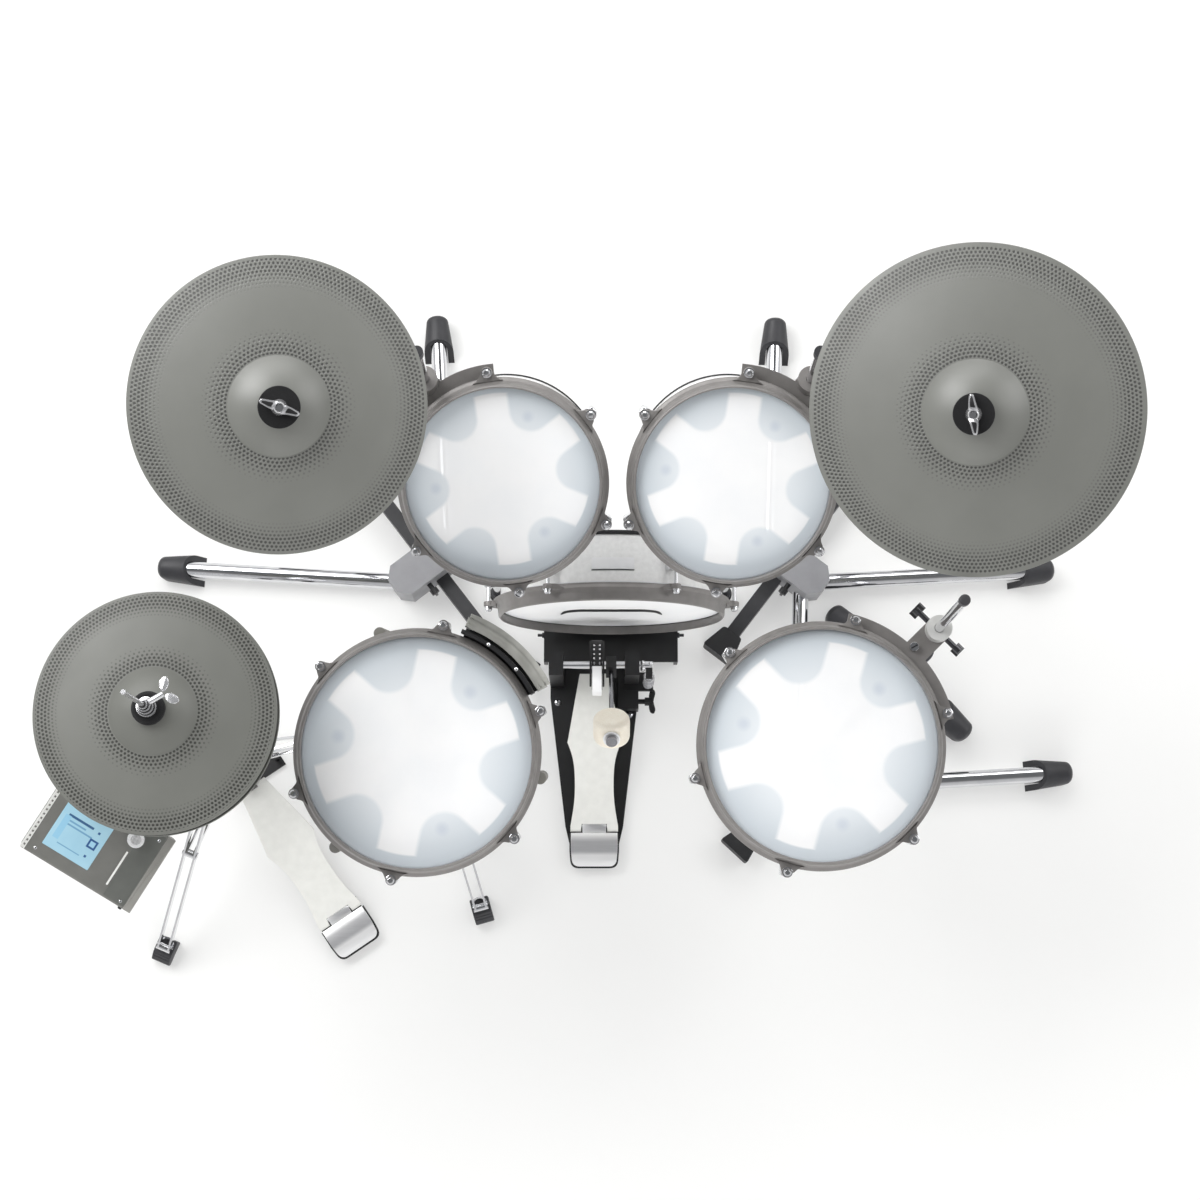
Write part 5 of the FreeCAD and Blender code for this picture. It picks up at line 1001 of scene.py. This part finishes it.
hat_hinge = upright(HINGE_HEIGHT) @ turned(HAT_PEDAL_TURN) @ moved(HAT_PEDAL_REACH) @ turned(90)
PEDALS = {
    "pedal": (moved(-0.005, -0.306, HINGE_HEIGHT), 0.238, "kick_board"),
    "hihat": (hat_hinge, 0.240, "hat_board"),
}
for name, (hinge, length, body) in PEDALS.items():
    side = [(0.0371, BOARD_BACK)] + [(half, length * share) for share, half in BOARD_SIDE]
    notch = [(-NOTCH_HALF, BOARD_BACK), (-NOTCH_HALF, NOTCH_DEPTH)]
    work = bmesh.new()
    slab(work, side + mirrored(side) + notch + mirrored(notch), -0.0024, 0.0025, 0.0009, 3)
    board = piece(name + "_board", work, white_satin, body, hinge @ turned(BOARD_TILT, "X"), 30.0)
    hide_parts(name + "_footboard")


def heel_plate(target, hinge, rim, low, high):
    half = HEEL_HALF + rim
    flank = [(half, HEEL_WAIST), (half, HEEL_FRONT)]
    ends = [(TAIL_HALF + rim, HEEL_TAIL - rim), flank[0]]
    tail = rounded(mirrored(ends) + ends, 0.013, TAIL_STEPS)[TAIL_STEPS + 1:3 * (TAIL_STEPS + 1)]
    plate = bmesh.new()
    slab(plate, mirrored(flank) + tail + flank, low, high, 0.0008)
    for step in range(FOLDS + 1):
        whole = plate.verts[:] + plate.edges[:] + plate.faces[:]
        fold = FOLD_START - FOLD_LENGTH * step / FOLDS
        bmesh.ops.bisect_plane(plate, geom=whole, plane_co=(0, fold, 0), plane_no=(0, 1, 0))
    for corner in plate.verts:
        past = FOLD_START - corner.co.y
        if past > FOLD_LENGTH and corner.co.z > 0:
            corner.co.z -= FOLD_SLOPE * (past - FOLD_LENGTH / 2)
        elif past > 0 and corner.co.z > 0:
            corner.co.z -= FOLD_SLOPE * past ** 2 / (2 * FOLD_LENGTH)
    bent = bpy.data.meshes.new("bent_plate")
    plate.to_mesh(bent)
    plate.free()
    bent.transform(hinge)
    target.from_mesh(bent)
    bpy.data.meshes.remove(bent)


work, liners_and_gap_shade, pins = bmesh.new(), bmesh.new(), bmesh.new()
for hinge, _, _ in PEDALS.values():
    heel_plate(work, hinge, 0.0, -0.0085, 0.0025)
    heel_plate(liners_and_gap_shade, hinge, LINER_RIM, -0.014, -0.0055)
    # A black slab under each hinge fills the gap between board and heel with painted shade.
    slab(liners_and_gap_shade, box(0.072, 0.022), -0.009, -0.0008, 0.0, 2, hinge @ moved(0, -0.003))
    knuckle = rounded(box(0.0366, 0.0134), 0.0006, 2)
    slab(work, knuckle, -0.0025, 0.0025, 0.0004, 2, hinge @ moved(0, -0.0037))
    lathe(pins, pin(0.0022, -0.037, 0.037, 0.0005), 20, hinge @ turned(90, "Y"))
heels = piece("pedal_heels", work, heel_metal, "stands")
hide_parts("heel_plates")
piece("heel_liners_and_gap_shade", liners_and_gap_shade, black_coat, "stands")
piece("pedal_hinge_pins", pins, chrome, "stands")

dress(black_coat, "pedal_base", "pedal_axle")
paint_faces("pedal_axle", chrome, lambda at: math.hypot(at.y - AXLE.y, at.z - AXLE.z) < AXLE_RADIUS)
dress(shaft_metal, "beater_shaft")
shaft_place = moved(SHAFT_X, AXLE.y, AXLE.z) @ turned(SHAFT_LEAN, "X")

cream_felt, tree, shader = finish("cream_felt", Roughness=0.95, Sheen_Weight=0.25, Sheen_Roughness=0.5)
fibre = use(tree, felt, Scale=520.0, Distortion=1.8)["Fibre"]
wool = clouded(tree, "f8f3e6", "f1e9da", 45.0)["Color"]
tufts = mix_color(tree, stretch(tree, fibre, 0.35, 0.75), wool, tone("e9dfcd"))
link(tree, tufts, shader.inputs["Base Color"])
bump(tree, shader, fibre, 0.8, 0.0007)
work = bmesh.new()
felt_place = shaft_place @ moved(0, 0, BEATER_REACH) @ turned(-90, "X")
lathe(work, pin(0.027, -0.022, 0.022, 0.011, 8), 72, felt_place)
beater = piece("beater_felt", work, cream_felt, "beater", limit=60.0)
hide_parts("beater_head")
work = bmesh.new()
dish = [(0.0052, 0.1915), (0.0126, 0.1915), (0.0126, 0.1942), (0.0108, 0.1942), (0.0072, 0.1928),
        (0.0052, 0.1928)]
lathe(work, rounded(dish, 0.0004, 2), 48, shaft_place, closed=True)
piece("beater_washer", work, bright_plate, "beater", limit=50.0)
work = bmesh.new()
lathe(work, [(0.0, 0.1968), (0.0036, 0.1966), (0.0047, 0.1958), (0.0050, 0.1928)], 6, shaft_place)
lathe(work, [(0.0, 0.2000), (0.0020, 0.1995), (0.0030, 0.1980), (0.0032, 0.1950)], 24, shaft_place)
piece("beater_cap_nut", work, shaft_metal, "beater", limit=50.0)

along_axle = Matrix(((0, 0, 1, 0), (-1, 0, 0, 0), (0, 1, 0, 0), (0, 0, 0, 1)))
strap_place = moved(AXLE.x + STRAP_SHIFT, AXLE.y, AXLE.z) @ along_axle
work = bmesh.new()
slab(work, sector(STRAP_NEAR, STRAP_FAR, 0.0, 132.0, 40), -STRAP_HALF, STRAP_HALF, 0.0008)
strap = piece("strap_wrap", work, black_strap, "beater", strap_place)
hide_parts("pedal_chain")
work = bmesh.new()
heights = [LINK_LOW + LINK_PITCH * step for step in range(LINK_ROWS)]
loop = [(STRAP_FAR, y) for y in heights] + [(STRAP_NEAR, y) for y in reversed(heights)]
slab(work, loop, -STRAP_HALF, STRAP_HALF, place=strap_place)
drop = piece("strap_link", work, bright_plate, None)
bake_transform(drop)
work = bmesh.new()
for turn in STUD_TURNS:
    for side in (-STUD_SIDE, STUD_SIDE):
        at = turned(turn) @ moved(STRAP_FAR, 0, side) @ turned(90, "Y")
        lathe(work, [(0.0, 0.0007), (0.0013, 0.0006), (0.0019, 0.0)], 14, at)
piece("strap_studs", work, chrome, "beater", strap_place)
work = bmesh.new()
slab(work, sector(0.0421, 0.0432, 0.0, 80.0), -0.0072, 0.0072, 0.0004)
piece("strap_clip", work, bright_plate, "beater", strap_place)
work = bmesh.new()
for low, high in ((-0.0112, -0.0084), (0.0084, 0.0112)):
    slab(work, sector(0.020, 0.0446, 34.0, 138.0, 40), low, high, 0.0007)
piece("cam_cheeks", work, black_coat, "beater", strap_place)

work = bmesh.new()
for spot in BASE_SCREWS:
    lathe(work, [(0.0, 0.0030), (0.0024, 0.0028), (0.0046, 0.0018), (0.0056, 0.0)], 32, moved(*spot))
    lathe(work, [(0.0, 0.0042), (0.0020, 0.0040), (0.0026, 0.0024)], 6, moved(*spot))
piece("base_screws", work, chrome, "stands")
work = bmesh.new()
dome = [(0.0, 0.0040), (0.0016, 0.0037), (0.0032, 0.0024), (0.0038, 0.0), (0.0038, -0.0035)]
for spot in LEVER_BOLTS:
    lathe(work, dome, 24, moved(*spot))
anchor = [(0.0, 0.1262), (0.0086, 0.1262), (0.0086, 0.1282), (0.0050, 0.1282), (0.0050, 0.1312),
          (0.0, 0.1312)]
lathe(work, rounded(anchor, 0.0006, 2, True), 32, moved(SPRING_X, SPRING_Y))
piece("lever_bolts", work, satin_chrome, "beater")
work = bmesh.new()
wing = [(-0.00102, -0.0030), (0.00935, -0.0042), (0.01785, -0.0018), (0.01955, 0.0040), (0.01275, 0.0066),
        (0.0051, 0.0040), (-0.00102, 0.0034)]
for outline in (mirrored(wing), wing):
    slab(work, rounded(outline, 0.003), -0.0024, 0.0024, 0.0012, 3, moved(*ADJUSTER) @ turned(-90.0))
piece("adjuster_wings", work, black_coat, "stands")

work = bmesh.new()
rows = []
wire = [math.pi * 2 * side / WIRE_SIDES for side in range(WIRE_SIDES)]
for step in range(COILS * COIL_STEPS + 1):
    turn = 2 * math.pi * step / COIL_STEPS
    height = SPRING_LOW + SPRING_LENGTH * step / (COILS * COIL_STEPS)
    rows.append([])
    for angle in wire:
        reach = COIL_RADIUS + WIRE_RADIUS * math.cos(angle)
        spot = (SPRING_X + reach * math.cos(turn), SPRING_Y + reach * math.sin(turn),
                height + WIRE_RADIUS * math.sin(angle))
        rows[-1].append(work.verts.new(spot))
for first, last in zip(rows, rows[1:]):
    join_rings(work, first, last)
work.faces.new(rows[0][::-1])
work.faces.new(rows[-1])
spring = piece("return_spring", work, spring_wire, None, limit=80.0)
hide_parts("pedal_spring")
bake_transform(spring)


# Sound module: a grey moulded case with lighter end cheeks on an arm from the hi-hat stand; the ribbed end's
# pale grey is partly painted highlight.
# A lit square screen, a bright turned knob and a pale light line are set into its face.
MODULE_DEPTH, MODULE_FLOOR, MODULE_FACE = 0.1104, -0.0195, 0.0224
RAILS = ((-0.0818, 0.0024), (-0.0774, 0.0016))
RIBS, RIB_X, RIB_START, RIB_PITCH = 17, -0.0794, -0.052, 0.0065
SCREEN_SOFT_EDGE = 0.0002
# The screen's plain marks: middle, half size and colour.
MARKS = (((-0.006, 0.012), (0.0185, 0.0016), "3c5f86"), ((-0.010, 0.0055), (0.0145, 0.0011), "6f9dbd"),
         ((-0.004, 0.0005), (0.0205, 0.0011), "6f9dbd"), ((0.0215, -0.006), (0.0062, 0.0062), "35588a"),
         ((0.0215, -0.006), (0.0036, 0.0036), "9cc8de"), ((0.0215, 0.0105), (0.0016, 0.0016), "35588a"),
         ((0.0215, -0.0235), (0.0016, 0.0016), "35588a"), ((-0.002, -0.0265), (0.0165, 0.0007), "6f9dbd"),
         ((-0.024, -0.006), (0.0042, 0.017), "8fbfd8"), ((0.0, 0.0275), (0.030, 0.0012), "8fbfd8"))
KNOB_STEPS, KNOB_VALLEY, KNOB_RIDGE = 120, 0.0108, 0.0112
MODULE_SCREWS = ((0.0645, 0.044), (0.0645, -0.048), (-0.0650, 0.046), (-0.0650, -0.046))
PEG_X, PEG_Y, PEG_Z = 0.069, 0.055, 0.012
module_place = moved(-0.652, -0.370, 0.630) @ turned(-31.7) @ turned(15.0, "Y")
module_shell = coated("module_shell", "757571", "6c6c68", 0.5, 0.12, 0.00015, grain=1300.0)
cheek_grey = coated("module_cheek", "989792", "8e8d88", 0.42, 0.1, 0.0001, grain=1300.0)
# The ribs are pale, and also lightened to stand in for the highlight along the case's edge: partly painted
# highlight.
rib_grey_and_highlight = coated("module_rib", "dededb", "d2d2ce", 0.4, 0.1, 0.0001, grain=1300.0)
strip_grey = coated("module_strip", "676965", "5e605c", 0.48, 0.1, 0.0001, grain=1300.0)
dress(module_shell, "module_case")
work = bmesh.new()
cheek = rounded(box(0.0116, MODULE_DEPTH), 0.0012, 3)
slab(work, cheek, MODULE_FLOOR, MODULE_FACE, 0.0014, 3, moved(0.0773))
piece("module_cheek", work, cheek_grey, "stands", module_place)
work = bmesh.new()
for x, wide in RAILS:
    rail = rounded(box(wide, MODULE_DEPTH), 0.0005, 2)
    slab(work, rail, MODULE_FLOOR, MODULE_FACE + 0.0002, 0.0004, 2, moved(x))
rib = rounded(box(0.0026, 0.0040), 0.0008, 2)
for row in range(RIBS):
    slab(work, rib, 0.0200, MODULE_FACE, 0.0004, 2, moved(RIB_X, RIB_START + RIB_PITCH * row))
piece("module_ribs", work, rib_grey_and_highlight, "stands", module_place)
work = bmesh.new()
slab(work, rounded(box(0.0300, 0.104), 0.0015, 3), 0.0218, MODULE_FACE, 0.0002, 2, moved(0.0558))
piece("module_strip", work, strip_grey, "stands", module_place)

screen_glass, tree, shader = finish(
    "screen_glass", Roughness=0.12, Coat_Weight=0.4, Coat_Roughness=0.05, Emission_Strength=0.12)
calc = partial(math_node, tree)
spot = object_spot(tree)
glow = clouded(tree, "a5cbdb", "9ac3d6", 25.0)["Color"]
for middle, half, ink in MARKS:
    inside = []
    for axis in (0, 1):
        reach = calc("ABSOLUTE", calc("SUBTRACT", spot[axis], middle[axis]))
        inside.append(stretch(tree, reach, half[axis] + SCREEN_SOFT_EDGE, half[axis] - SCREEN_SOFT_EDGE))
    glow = mix_color(tree, calc("MULTIPLY", *inside), glow, tone(ink))
link(tree, glow, shader.inputs["Base Color"])
link(tree, glow, shader.inputs["Emission Color"])
link(tree, stretch(tree, noise(tree, 300.0), 0.3, 0.7, 0.10, 0.16), shader.inputs["Roughness"])
work = bmesh.new()
slab(work, rounded(box(0.0684, 0.0748), 0.001, 3), -0.0018, 0.0002, 0.0003)
screen = piece("module_display", work, screen_glass, "stands", module_place @ moved(-0.0273, 0.001, 0.022))
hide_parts("module_screen")

light_line, tree, shader = finish("light_line", Roughness=0.35)
link(tree, clouded(tree, "f4f4f0", "e8e8e4", 80.0)["Color"], shader.inputs["Base Color"])
work = bmesh.new()
slab(work, rounded(box(0.0026, 0.0500), 0.0011), 0.0216, 0.0228, 0.0003, 2, moved(0.0376, -0.0140))
piece("module_light_line", work, light_line, "stands", module_place)

knob_metal = coated("knob_metal", "f6f6f6", "ececee", 0.28, 0.06, 0.00003, Metallic=0.2)
knob_face = coated("knob_face", "d2d2d2", "9a9a9c", 0.5, 0.1, 0.0003, scale=260.0, grain=900.0)
knob_place = module_place @ moved(0.0375, 0.030, 0.0223)
work = bmesh.new()
rim = [(0.0073, 0.0070), (0.0076, 0.0086), (0.0092, 0.0090), (0.0106, 0.0088), (0.0110, 0.0082),
       (0.0106, 0.0070)]
lathe(work, rim, 60, closed=True)
knurl = []
for step in range(KNOB_STEPS):
    turn = 2 * math.pi * step / KNOB_STEPS
    reach = KNOB_RIDGE if step % 2 else KNOB_VALLEY
    knurl.append((reach * math.cos(turn), reach * math.sin(turn)))
slab(work, knurl, 0.0, 0.0080)
knob = piece("module_dial", work, knob_metal, "knob", knob_place, 40.0)
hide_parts("module_knob")
work = bmesh.new()
lathe(work, [(0.0, 0.0084), (0.0040, 0.0083), (0.0068, 0.0080), (0.0074, 0.0074), (0.0074, 0.0060)], 48)
piece("module_dial_face", work, knob_face, "knob", knob_place)
work = bmesh.new()
for x, y in MODULE_SCREWS:
    lathe(work, [(0.0, 0.0009), (0.0013, 0.0008), (0.0021, 0.0002)], 18, moved(x, y, 0.0221))
piece("module_screws", work, chrome, "stands", module_place)
work = bmesh.new()
for side in (-1, 1):
    at = moved(PEG_X, PEG_Y * side, PEG_Z) @ turned(-90 * side, "X")
    lathe(work, [(0.0, 0.0032), (0.0022, 0.0028), (0.0028, 0.0014), (0.0028, -0.001)], 20, at)
piece("module_pegs", work, black_rubber, "stands", module_place)
